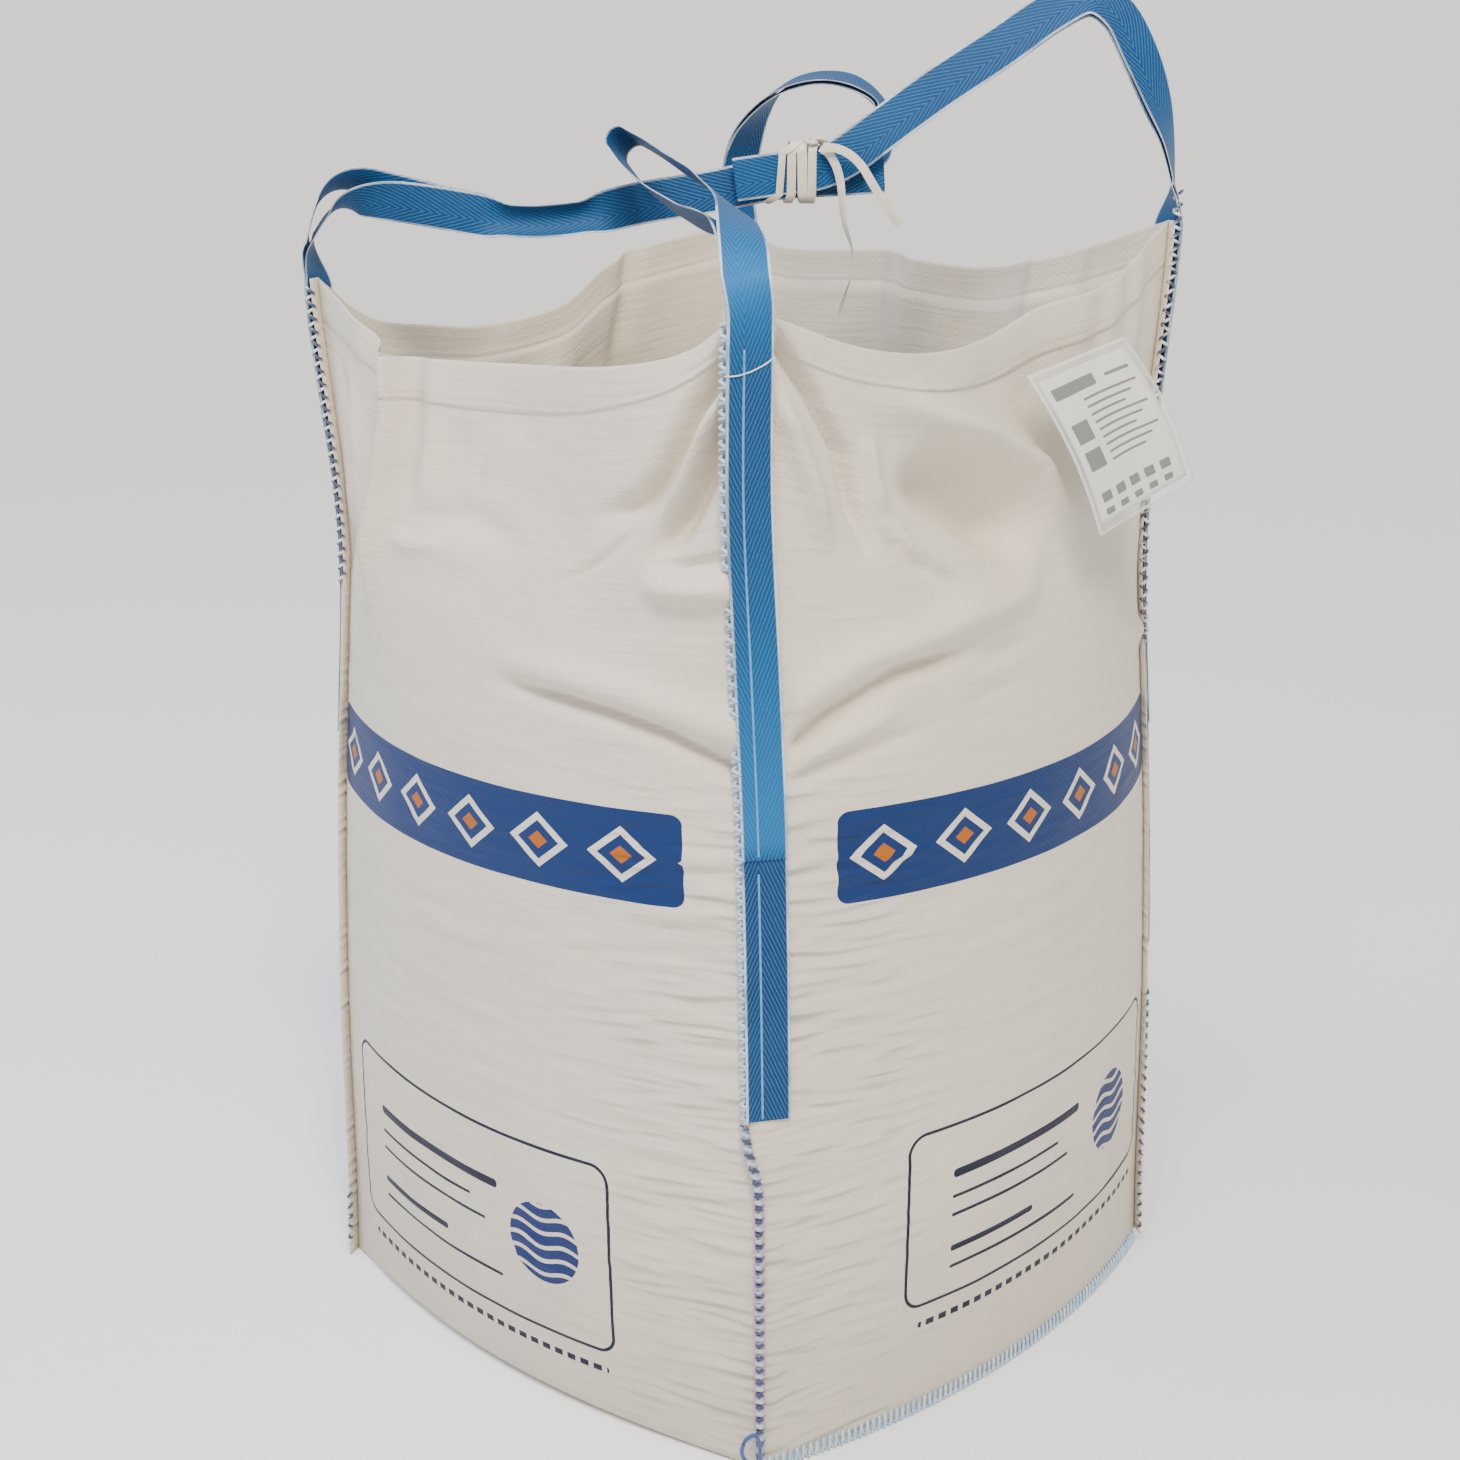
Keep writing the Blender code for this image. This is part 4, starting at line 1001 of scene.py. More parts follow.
# (across, toward, up), the way the outer leg faces, half the space between the legs
LOOPS = {
    "near": [
        ((-.010, .502, 1.350), (0, 1, .10), .0016),
        ((-.012, .470, 1.374), (.10, .80, .50), .0030),
        ((-.016, .418, 1.386), (.30, .50, .75), .0060),
        ((-.022, .350, 1.391), (.50, .20, .80), .0100),
        ((-.033, .280, 1.392), (.60, .05, .75), .0140),
        ((-.047, .210, 1.393), (.66, .05, .70), .0180),
        ((-.064, .150, 1.401), (.68, .00, .68), .0210),
        ((-.091, .100, 1.415), (.68, .00, .68), .0210),
        ((-.117, .060, 1.433), (.68, .00, .68), .0190),
        ((-.137, .035, 1.449), (.68, .00, .68), .0140),
    ],
    "left": [
        ((-.516, .000, 1.345), (-1, .10, .10), .0030),
        ((-.496, .006, 1.380), (-.85, .05, .50), .0090),
        ((-.462, .012, 1.398), (-.30, -.60, .75), .0150),
        ((-.415, .012, 1.392), (.05, -.95, .30), .0130),
        ((-.350, .010, 1.378), (.05, -1, .05), .0060),
        ((-.270, .006, 1.364), (.05, -1, .00), .0020),
        ((-.200, .002, 1.366), (.05, -1, .00), .0016),
        ((-.120, -.006, 1.382), (.10, -1, .00), .0016),
        ((-.040, -.008, 1.394), (.10, -1, .00), .0016),
        ((.040, -.006, 1.409), (.05, -1, .00), .0016),
        ((.110, -.005, 1.413), (.00, -1, .00), .0016),
        ((.165, -.005, 1.416), (.00, -1, .00), .0022),
    ],
    "right": [
        ((.512, .000, 1.400), (1, .20, .15), .0016),
        ((.503, -.002, 1.450), (.90, .45, .20), .0024),
        ((.487, -.003, 1.500), (.60, .80, .25), .0030),
        ((.466, -.004, 1.550), (.35, .95, .20), .0030),
        ((.440, -.006, 1.594), (.25, .90, .45), .0030),
        ((.405, -.008, 1.612), (.00, .80, .65), .0030),
        ((.362, -.006, 1.596), (-.20, .90, .45), .0026),
        ((.300, .000, 1.556), (-.15, .95, .25), .0016),
        ((.230, .006, 1.512), (-.10, 1, .20), .0016),
        ((.170, .008, 1.470), (-.10, 1, .20), .0016),
        ((.124, .009, 1.437), (-.05, 1, .10), .0016),
        ((.090, .009, 1.422), (.00, 1, .00), .0016),
        ((.060, .009, 1.418), (.00, 1, .00), .0016),
        ((.030, .009, 1.414), (.00, 1, .00), .0016),
        ((-.008, .009, 1.409), (.00, 1, .00), .0016),
    ],
    "back": [
        ((.004, -.508, 1.365), (0, -1, .10), .0016),
        ((.012, -.500, 1.415), (-.30, -.90, .20), .0022),
        ((.028, -.470, 1.462), (-.60, -.60, .50), .0026),
        ((.052, -.410, 1.495), (-.65, -.30, .70), .0026),
        ((.088, -.325, 1.514), (-.45, -.10, .90), .0026),
        ((.128, -.235, 1.517), (-.10, .05, 1), .0026),
        ((.160, -.150, 1.500), (.45, .15, .85), .0026),
        ((.174, -.105, 1.474), (.90, .20, .35), .0024),
        ((.166, -.072, 1.447), (.75, .55, .25), .0020),
        ((.140, -.044, 1.431), (.40, .90, .10), .0016),
        ((.112, -.028, 1.422), (.10, 1, .00), .0016),
        ((.082, -.0215, 1.418), (.00, 1, .00), .0016),
        ((.045, -.0215, 1.415), (.00, 1, .00), .0016),
    ],
}
WEB_FACES = {"near": ("right", -1.0), "left": ("left", 1.0), "right": ("rear", -1.0),
             "back": ("rear", 1.0)}
# Where the webbing is rolled into a tube: middle and half length along "across", and how tightly
CURLS = {"left": [(-.235, .055, 52.0)]}
print("points on the free routes:", {corner: len(route) for corner, route in LOOPS.items()})

# %% Smooth lines


def smooth_line(points, steps):
    """A smooth curve through points, with some steps from each to the next."""
    values = np.asarray(points, float)
    ends = np.concatenate([values[:1], values, values[-1:]])
    t = np.linspace(0, len(values) - 1, steps * (len(values) - 1) + 1)
    i = np.minimum(t.astype(int), len(values) - 2)
    t = (t - i)[:, None]
    a, b, c, d = ends[i], ends[i + 1], ends[i + 2], ends[i + 3]
    return .5 * (2 * b + (c - a) * t + (2 * a - 5 * b + 4 * c - d) * t ** 2
                 + (3 * b - a - 3 * c + d) * t ** 3)


def ways_ahead(points, closed=False):
    """The way ahead at each point of a path."""
    if closed:
        return unit(np.roll(points, -1, 0) - np.roll(points, 1, 0))
    return unit(np.gradient(points, axis=0))


def square(ahead, facing):
    """The part of a facing that is square to the way ahead."""
    return unit(facing - ahead * np.sum(facing * ahead, -1, keepdims=True))


print("a line of three points:", smooth_line([(0, 0), (1, 1), (2, 0)], 2).tolist())

# %% Legs of a loop
RIM_EASE, EASE_REACH = 0.0026, 0.25      # the slack cloth lets the webbing stand off, up to the rim
SEWN_STEP = 0.016           # height between two stations on the seam
RIDGES = 5                  # places across a leg where the wall's bulge is felt
ROUTE_STEPS = 10            # stations for each point of a route
JOIN_STEPS = 8


def loosened(heights):
    """How far the webbing stands off slack cloth."""
    return RIM_EASE * ease((heights - SLACK_FROM) / EASE_REACH)


def sewn_leg(corner, layer, low):
    """Middles, ways ahead and facings of a leg that is sewn down a corner."""
    face, place = WEB_FACES[corner]
    heights = np.linspace(low, TALL, int((TALL - low) / SEWN_STEP))
    inward = -place * WEB_SIDE / HALF_FACE
    straight = unit(spot(*FLANGE_WAYS[corner], 0.0))
    tip = face_point(face, place, heights) + straight * FLANGE
    side = face_point(face, place + inward, heights)
    outward = unit(np.cross(side - tip, (0, 0, 1)))
    outward *= np.sign(np.sum(outward[:, :2] * tip[:, :2], -1))[:, None]
    proud = np.zeros(len(heights))
    for k in range(RIDGES):
        ridge = face_point(face, place + inward * k / (RIDGES - 1), heights)
        proud = np.maximum(proud, np.sum((ridge - tip) * outward, -1))
    start = proud + 2 * GAP + loosened(heights) + (WEB_THICK + GAP) * (1 - layer)
    middle = (tip + side) / 2 + outward * (start + WEB_THICK / 2)[:, None]
    return middle, np.broadcast_to((0.0, 0.0, 1.0), middle.shape), outward


def free_leg(route, side):
    """Middles, ways ahead and facings of a leg along the route."""
    middles = route[:, :3]
    ahead = ways_ahead(middles)
    facing = square(ahead, route[:, 3:6])
    return middles + facing * side * route[:, 6:7], ahead, facing


def joined(sewn, free):
    """The sewn and the free part of a leg, with a smooth turn from one to the other."""
    t = (np.arange(1, JOIN_STEPS) / JOIN_STEPS)[:, None]
    start, stop = sewn[0][-1], free[0][0]
    reach = np.linalg.norm(stop - start)
    middle = start * (1 + 2 * t) * (1 - t) ** 2 + stop * t * t * (3 - 2 * t)
    middle = middle + (sewn[1][-1] * (1 - t) - free[1][0] * t) * reach * t * (1 - t)
    ahead = sewn[1][-1] * (1 - t) + free[1][0] * t
    facing = sewn[2][-1] * (1 - t) + free[2][0] * t
    return [np.concatenate(parts) for parts in zip(sewn, (middle, ahead, facing), free)]


print("stations on the near seam:", len(sewn_leg("near", 0, OUTER_END)[0]))

# %% Sections of a loop
WEB_COLUMNS = 9             # points across the webbing
WEB_LIP = 0.45              # how thick the very edge is, as a share
TURN_STEPS = 10             # stations round the end of a loop
STRAIGHT = 1e-3             # a curl below this is flat


def web_section(middle, ahead, facing, side, curl):
    """A ring around the webbing: first its outer side, then its inner side."""
    ahead = ahead / np.linalg.norm(ahead)
    facing = square(ahead, facing)
    wide = np.cross(ahead, facing)
    v = np.linspace(-WEB_WIDTH / 2, WEB_WIDTH / 2, WEB_COLUMNS)[:, None]
    if abs(curl) > STRAIGHT:
        sway, rise = np.sin(v * curl) / curl, (np.cos(v * curl) - 1) / curl
        lean = np.sin(v * curl) * wide + np.cos(v * curl) * facing
    else:
        sway, rise = v, 0 * v
        lean = np.broadcast_to(facing, (WEB_COLUMNS, 3))
    line = middle + wide * sway + facing * rise
    half = WEB_THICK / 2 * np.where(np.abs(v) > WEB_WIDTH / 2 - 1e-6, WEB_LIP, 1.0)
    return np.concatenate([line + lean * half * side, (line - lean * half * side)[::-1]])


def curl_at(corner, middle):
    """How tightly the webbing is rolled at a point."""
    across = (middle[0] + middle[1]) * DIAGONAL
    return sum(tight * ease(2 - abs(across - at) / half * 1.3)
               for at, half, tight in CURLS.get(corner, []) if middle[2] > TALL)


def loop_stations(corner):
    """Middle, way ahead, facing, side and curl, from the inner leg's lower end to the outer's."""
    points = [[*spot(*place), *spot(*facing), gap] for place, facing, gap in LOOPS[corner]]
    route = smooth_line(points, ROUTE_STEPS)
    outer = joined(sewn_leg(corner, 0, OUTER_END), free_leg(route, 1))
    inner = joined(sewn_leg(corner, 1, INNER_END), free_leg(route, -1))
    up, down = ([(*station, side, curl_at(corner, station[0])) for station in zip(*leg)]
                for leg, side in ((inner, -1), (outer, 1)))
    # At the end of the loop the strip turns back over itself in a half circle.
    end = (outer[0][-1] + inner[0][-1]) / 2
    half_gap = np.linalg.norm(outer[0][-1] - end)
    ahead, facing = outer[1][-1], square(outer[1][-1], outer[2][-1])
    for k in range(TURN_STEPS - 1, 0, -1):
        turn = pi * k / TURN_STEPS
        way = facing * cos(turn) + ahead * sin(turn)
        up.append((end + way * half_gap, ahead * cos(turn) - facing * sin(turn), way, 1, 0))
    return up + down[::-1]


print("stations on each loop:", {corner: len(loop_stations(corner)) for corner in LOOPS})

# %% [markdown]
# ### Webbing material
# The herringbone could be woven from real strands, but hundreds of yarns would weigh more than the
# rest of the bag. So it is drawn from the webbing's own UV map: u runs along it and v across, in
# metres. Slanting strokes change their direction near the middle. Each stroke is a yarn that is a
# little lighter than the ground. The selvedge at both edges is pale. An attribute paints the webbing
# lighter by height: a painted highlight where the loops bend over the rim, and a lighter lower end
# of the outer leg. The inner leg gets less of it, as painted shade.

# %% Webbing
STROKE_PITCH = 0.0100       # drawn coarser than the real yarn, so that it shows
STROKE_SLANT = 2.3
STROKE_WOBBLE = 0.0034
HERRING_AT = -.007          # where the strokes turn, across the webbing
SELVEDGE = WEB_WIDTH / 2 - .0030, WEB_WIDTH / 2 - .0018      # across, from no selvedge to full
WEB_DEEP, WEB_MID, WEB_PALE = linear("021C42"), linear("03366A"), linear("2878B0")
WEB_LIGHTER_BLUE, WEB_EDGE = linear("0B68A4"), linear("D3DEE6")      # the lighter blue of the painted highlight and of the outer leg's lower end, the selvedge


def webbing():
    """Polypropylene herringbone webbing: dull, with a slight sheen on the yarns."""
    material, tree, shader = new_material("blue polypropylene webbing", Roughness=.62,
                                          Sheen_Weight=.06, Sheen_Roughness=.4,
                                          Specular_IOR_Level=.3)
    uv = add_node(tree, "UVMap", {})
    along, across, _ = add_node(tree, "SeparateXYZ", {0: uv}).node.outputs
    turn = add_node(tree, "Math", {0: across, 1: HERRING_AT}, operation="SUBTRACT")
    turn = add_node(tree, "Math", {0: turn}, operation="ABSOLUTE")
    slanted = add_node(tree, "Math", {0: turn, 1: STROKE_SLANT, 2: along},
                       operation="MULTIPLY_ADD")
    wobble = add_node(tree, "TexNoise", {"Vector": uv, "Scale": 160.0, "Detail": 1.0})
    slanted = add_node(tree, "Math", {0: wobble, 1: STROKE_WOBBLE, 2: slanted},
                       operation="MULTIPLY_ADD")
    phase = add_node(tree, "Math", {0: slanted, 1: 2 * pi / STROKE_PITCH}, operation="MULTIPLY")
    stroke = add_node(tree, "Math", {0: phase}, operation="SINE")
    lit = add_node(tree, "MapRange", {0: stroke, 1: -.2, 2: 1.0})
    speck = add_node(tree, "TexNoise", {"Vector": uv, "Scale": 420.0, "Detail": 2.0})
    speck = add_node(tree, "Math", {0: speck, 1: lit}, operation="MULTIPLY")

    patch = add_node(tree, "TexNoise", {"Vector": uv, "Scale": 16.0, "Detail": 3.0})
    # An attribute paints the webbing lighter by height: painted highlight where the loops bend over
    # the rim, a lighter lower end of the outer leg, and less on the inner leg as painted shade.
    highlight_and_tone = add_node(tree, "Attribute", {}, "Fac", attribute_name="highlight_and_tone")
    off = add_node(tree, "Math", {0: across}, operation="ABSOLUTE")
    edge = add_node(tree, "MapRange", {0: off, 1: SELVEDGE[0], 2: SELVEDGE[1]})
    rubbed = add_node(tree, "MapRange", {0: patch, 1: .30, 2: .62, 3: .25, 4: .85}, **EASED)
    rubbed = add_node(tree, "Math", {0: edge, 1: rubbed}, operation="MULTIPLY")
    colour = add_node(tree, "Mix", {0: patch, 6: WEB_DEEP, 7: WEB_MID}, **COLOURS)
    for share, tone in ((highlight_and_tone, WEB_LIGHTER_BLUE), (speck, WEB_PALE), (rubbed, WEB_EDGE)):
        colour = add_node(tree, "Mix", {0: share, 6: colour, 7: tone}, **COLOURS)
    yarns = add_node(tree, "Bump", {"Strength": .55, "Distance": .0012, "Height": speck})
    set_inputs(tree, shader, {"Base Color": colour, "Normal": yarns})
    return material


web_blue = webbing()
print("strokes:", STROKE_PITCH * 1000, "mm apart")

# %% Loops
# How much lighter the webbing is painted, by height: a painted highlight where the loops bend over
# the rim, and a lighter lower end of the outer leg; and how much less the inner leg gets, as painted
# shade
HIGHLIGHT_AND_TONE = [(.43, .10), (.73, .10), (.745, .75), (.86, .62), (1.02, .22), (1.22, .12), (1.29, .35),
        (1.34, .75), (1.40, .35), (1.50, .15), (1.62, .12)]
INNER_HIGHLIGHT_SHARE = 0.35
CREASE = 0.9                # edges that turn by more than this, in radians, stay sharp


def build_loop(corner):
    stations = loop_stations(corner)
    rings = np.array([web_section(*station) for station in stations])
    middles = np.array([station[0] for station in stations])
    along = np.concatenate([[0], np.cumsum(np.linalg.norm(np.diff(middles, axis=0), axis=1))])
    v = np.linspace(-WEB_WIDTH / 2, WEB_WIDTH / 2, WEB_COLUMNS)
    v = np.concatenate([v, v[::-1]])
    places = np.stack(np.broadcast_arrays(along[:, None], v[None, :]), -1)
    mesh = mesh_of(f"loop_{corner}", rings, skin(rings), places, sharp=CREASE)
    # Painted highlight and lighter tone by height; the inner leg gets less of it, as painted shade.
    tone = through(HIGHLIGHT_AND_TONE, middles[:, 2])
    tone[:len(middles) // 2] *= INNER_HIGHLIGHT_SHARE
    highlight_and_tone = mesh.attributes.new("highlight_and_tone", "FLOAT", "POINT")
    highlight_and_tone.data.foreach_set("value", np.repeat(tone, len(v)).astype(np.float32))
    return new_piece(f"loop_{corner}", mesh, [web_blue], f"lift_loop_{corner}")


loops = {corner: build_loop(corner) for corner in LOOPS}
print("loops:", {corner: len(piece.data.polygons) for corner, piece in loops.items()})

# %% [markdown]
# ## Thread
# An overlock seam wraps the raw edge of the cloth: the thread goes from a needle line over the edge
# and back underneath, again and again. Bump could draw it, but the stitches stand out in the bag's
# outline. So it is a thin tube on a path that winds round the edge. Each corner has one, and so have
# the lower edges of the side pieces. Chain stitches hold the webbing on the seam.

# %% Threads
OVERLOCK_PITCH = 0.0155


def tube(points, radius, sides=6, closed=False):
    """Rings of points around a path, and their faces."""
    points = np.asarray(points, float)
    ahead = ways_ahead(points, closed)
    up = np.where(np.abs(ahead[:, 2:3]) < .9, (0.0, 0.0, 1.0), (1.0, 0.0, 0.0))
    side = unit(np.cross(ahead, up))
    other = np.cross(side, ahead)
    turn = np.arange(sides) * 2 * pi / sides
    radius = np.broadcast_to(radius, len(points))[:, None, None]
    rings = points[:, None] + radius * (side[:, None] * np.cos(turn)[None, :, None]
                                        + other[:, None] * np.sin(turn)[None, :, None])
    return rings, skin(rings, closed)


def build_threads(name, paths, material, slot, **shape):
    """Several tubes of thread as one mesh."""
    mesh = mesh_of(name, *as_one([tube(path, **shape) for path in paths]))
    return new_piece(name, mesh, [material])


def thread(name, first, second, pitch=None):
    """Twisted polyester thread: soft and a little fluffy, with a tone that changes along it."""
    material, tree, shader = new_material(name, Roughness=.55, Sheen_Weight=.3)
    place = add_node(tree, "TexCoord", {}, "Object")
    tone = add_node(tree, "TexNoise", {"Vector": place, "Scale": 90.0, "Detail": 2.0})
    if pitch:
        # With every stitch the seam shows one thread and then the other.
        _, _, up = add_node(tree, "SeparateXYZ", {0: place}).node.outputs
        phase = add_node(tree, "Math", {0: up, 1: 2 * pi / pitch}, operation="MULTIPLY")
        wave = add_node(tree, "Math", {0: phase}, operation="SINE")
        tone = add_node(tree, "Math", {0: wave, 1: .75, 2: tone}, operation="MULTIPLY_ADD")
    colour = add_node(tree, "Mix", {0: tone, 6: linear(first), 7: linear(second)}, **COLOURS)
    set_inputs(tree, shader, {"Base Color": colour})
    return material


thread_pale = thread("pale blue polyester thread", "5B9CCB", "DDE8EE")
thread_grey = thread("blue and grey polyester thread", "2C3B55", "D8DADA", OVERLOCK_PITCH)
thread_violet = thread("violet and lilac polyester thread", "34365E", "B4B9CE", OVERLOCK_PITCH)
thread_line = thread("light blue polyester thread", "2E7AB6", "62A6D6")
thread_deep = thread("deep blue polyester thread", "10275A", "2F5C9C")
thread_white = thread("white thread", "C9CFD0", "E6E8E6")
print("threads ready")

# %% Overlock seams
OVERLOCK_REACH = 0.0050     # from the edge to the needle line
OVERLOCK_OUT = 0.0026
OVERLOCK_RADIUS = 0.0019
FOOT_THREAD, FOOT_SPREAD = 0.0024, 0.0026      # below the webbing the thread lies in thick bunches
OVER, UNDER = .0010, .0006      # how far the thread clears what it holds, above it and below it
# Corner, thread, and the stretches where the stitches lie outside the allowance
OVERLOCKS = [("near", thread_pale, [(INNER_END, 1.300)]), ("near", thread_violet, [(.012, .428)]),
             ("left", thread_grey, [(.930, 1.300), (.014, .100)]),
             ("right", thread_grey, [(.840, 1.345), (.014, .370)]),
             ("back", thread_grey, [(.900, 1.300), (.014, .200)])]


def edge_frames(corner, heights):
    """Outer edge of what is sewn at a corner, the way out from it, its facing and its thickness."""
    face, place = WEB_FACES[corner]
    tip = flange_point(corner, face, place, heights)
    _, way = flange_reach(corner, heights)
    facing = np.cross(way, (0, 0, 1))
    outward = np.stack([tip[:, 0], tip[:, 1], 0 * heights], -1)
    facing = facing * np.sign(np.sum(facing * outward, -1))[:, None]
    layers = (heights > INNER_END).astype(float) + (heights > OUTER_END)
    thick = CLOTH / 2 + layers * (WEB_THICK + 2 * GAP) + loosened(heights) * (layers > 0)
    return tip, way, unit(facing), thick


def overlock(corner, low, high, spread=0.0, start=0.0):
    """A path that winds round the edge of the seam allowance and the webbing."""
    count = int((high - low) / OVERLOCK_PITCH)
    steps = np.arange(4 * count + 1)
    heights = low + start + (steps / 4) * (high - low) / count
    tip, way, facing, thick = edge_frames(corner, heights)
    out = np.choose(steps % 4, [-OVERLOCK_REACH, OVERLOCK_OUT, -OVERLOCK_REACH, OVERLOCK_OUT])
    side = np.choose(steps % 4, [1.0, .3, -1.0, -.1])
    above = np.where(side > 0, thick + OVER, CLOTH / 2 + UNDER) + spread
    points = tip + way * out[:, None] + facing * (side * above)[:, None]
    return smooth_line(points, 3)


for corner, material, stretches in OVERLOCKS:
    if stretches[0][1] > 1:
        part, radius = "upper", OVERLOCK_RADIUS
        paths = [overlock(corner, *stretch) for stretch in stretches]
    else:
        part, radius = "lower", FOOT_THREAD
        paths = [overlock(corner, *stretches[0], FOOT_SPREAD, start)
                 for start in (0, OVERLOCK_PITCH / 2)]
    build_threads(f"overlock_{corner}_{part}", paths, material, "blue_webbing", radius=radius)
print("overlock seams:", len(OVERLOCKS))

# %% Chain stitches on the webbing
CHAIN_TOP = 1.288
CHAIN_OUTER, CHAIN_INNER, CHAIN_UNDER = 0.004, 0.003, 0.006      # clear of the ends of the legs
CHAIN_RADIUS, CHAIN_UP = 0.0013, 0.0002      # its thread, and how far that lies over the webbing


def chain(corner, layer, low, high):
    """A line of chain stitches on a leg, along the seam."""
    middle, ahead, facing = sewn_leg(corner, layer, low)
    wide = np.cross(ahead, facing)
    edge = flange_point(corner, *WEB_FACES[corner], middle[:, 2])
    side = np.sign(np.sum((edge - middle) * wide, -1))
    across = (WEB_WIDTH / 2 - FLANGE) * side[:, None]
    line = middle + wide * across + facing * (WEB_THICK / 2 + CHAIN_UP)
    return smooth_line(line[middle[:, 2] < high], 8)


for corner in LOOPS:
    paths = [chain(corner, 0, OUTER_END + CHAIN_OUTER, CHAIN_TOP),
             chain(corner, 1, INNER_END + CHAIN_INNER, OUTER_END - CHAIN_UNDER)]
    build_threads(f"chain_{corner}", paths, thread_line, "blue_webbing",
                  radius=CHAIN_RADIUS, sides=5)
print("chain stitches:", len(LOOPS))

# %% Overlocked lower edges of the side pieces
FOOT_PITCH = 0.0085
FOOT_AT = 0.012             # height where the edge of the cloth is found
FOOT_FROM, FOOT_TO = -.985, .975
FOOT_RADIUS = 0.0018
FOOT_RISE = [.0034, .016, .014, .0028]      # height of the four bends of each stitch
FOOT_OUT = [.0042, .0030, -.0002, .0008]      # and how far they stand out


def foot_overlock(face):
    """Slanting stitches over the lower edge of a side piece."""
    steps = np.arange(4 * int(2 * HALF_FACE / FOOT_PITCH) + 1)
    place = np.linspace(FOOT_FROM, FOOT_TO, len(steps))
    level = np.full(place.shape, FOOT_AT)
    low = face_point(face, place, level)
    step = face_point(face, place + .01, level) - low
    step[:, 2] = 0
    points = low + unit(np.cross(step, (0, 0, 1))) * np.choose(steps % 4, FOOT_OUT)[:, None]
    points[:, 2] = np.choose(steps % 4, FOOT_RISE)
    return smooth_line(points, 3)


for face in ("right", "left"):
    build_threads(f"overlock_foot_{face}", [foot_overlock(face)], thread_pale, "blue_webbing",
                  radius=FOOT_RADIUS)
print("lower edges sewn")

# %% [markdown]
# ## The tie
# A flat tape goes three times round the gathered loops, is knotted on top, and its ends hang down.
# One long curve could follow the whole tape, but it would cut through itself in the knot. So each
# turn is a tape on a rounded path round the bundle, and the knot is a piece of its own. The free
# ends are flat cords of a known length, and follow the same route as in the solid model, with a slow
# twist.

# %% Tie
TIE_MIDDLE = (-.006, 1.417)
TIE_HOLE = (.0225, .0345)      # half the width and half the height of the gathered loops
TIE_ROUND, TIE_ARC = 0.012, 9      # radius of each turn's corners, and points round one
TAPE_WIDTH, TAPE_THICK = 0.010, 0.0012
# Each turn: its place along the bundle, how far it leans, its width
TURNS = [(.0570, .004, .0105), (.0692, -.003, .0115), (.0810, .002, .0100)]
TURN_OUT, TURN_MORE = .0010, .0003      # how far the first turn lies off, and each next one more
CROSSING = (.046, .022, .0026)      # the slanting strand: its place, its lean and how far it lies off
CROSSING_WIDTH = 0.0085
CROSSING_FROM, CROSSING_TO = 30, 12      # points of its turn where the strand starts and ends


def tying_tape():
    """Flat polypropylene tying tape: off-white, with soiled patches and small creases."""
    material, tree, shader = new_material("flat polypropylene tying tape", Roughness=.6)
    place = add_node(tree, "TexCoord", {}, "Object")
    patch = add_node(tree, "TexNoise", {"Vector": place, "Scale": 60.0, "Detail": 4.0})
    colour = add_node(tree, "Mix", {0: patch, 6: linear("EFE7D8"), 7: linear("C9BDA8")}, **COLOURS)
    creased = add_node(tree, "Bump", {"Strength": .4, "Distance": .0010, "Height": patch})
    set_inputs(tree, shader, {"Base Color": colour, "Normal": creased})
    return material


tape_white = tying_tape()
TAPE_OUTLINE = [(-.5, .25), (-.25, .5), (.25, .5), (.5, .25),
                (.5, -.25), (.25, -.5), (-.25, -.5), (-.5, -.25)]
TAPE_CREASE = 1.2           # edges that turn by more than this, in radians, stay sharp
print("tape:", TAPE_WIDTH, "m wide")

# %% Turns of the tie


def tape(points, facing, width, closed=False):
    """A flat tape along a path: rings of an eight-sided outline, and their faces."""
    ahead = ways_ahead(points, closed)
    facing = square(ahead, facing)
    wide = np.cross(ahead, facing)
    rings = np.stack([points + wide * x * width + facing * y * TAPE_THICK
                      for x, y in TAPE_OUTLINE], 1)
    return rings, skin(rings, closed)


def turn_path(across, lean, grow):
    """A turn of the tie round the bundle, and the way that it faces."""
    points, ways = [], []
    radius = TIE_ROUND + grow
    for quarter, (side, rise) in enumerate(((1, 1), (-1, 1), (-1, -1), (1, -1))):
        for k in range(TIE_ARC):
            turn = pi / 2 * (quarter + k / TIE_ARC)
            toward = side * (TIE_HOLE[0] + grow - radius) + radius * cos(turn)
            up = rise * (TIE_HOLE[1] + grow - radius) + radius * sin(turn)
            place = across + lean * sin(turn)
            points.append(spot(place, TIE_MIDDLE[0] + toward, TIE_MIDDLE[1] + up))
            ways.append(spot(0.0, cos(turn), sin(turn)))
    return np.array(points), np.array(ways)


def build_turns():
    parts = []
    for k, (across, lean, width) in enumerate(TURNS):
        path, ways = turn_path(across, lean, TURN_OUT + TURN_MORE * k)
        parts.append(tape(path, ways, width, closed=True))
    # One strand crosses the others at a slant before it goes round again.
    path, ways = (np.concatenate([part[CROSSING_FROM:], part[:CROSSING_TO]])
                  for part in turn_path(*CROSSING))
    parts.append(tape(path, ways, CROSSING_WIDTH))
    mesh = mesh_of("tie_turns", *as_one(parts), sharp=TAPE_CREASE)
    return new_piece("tie_turns", mesh, [tape_white], "tie_wraps")


build_turns()
print("turns of the tie:", len(TURNS), "and a slanting strand")

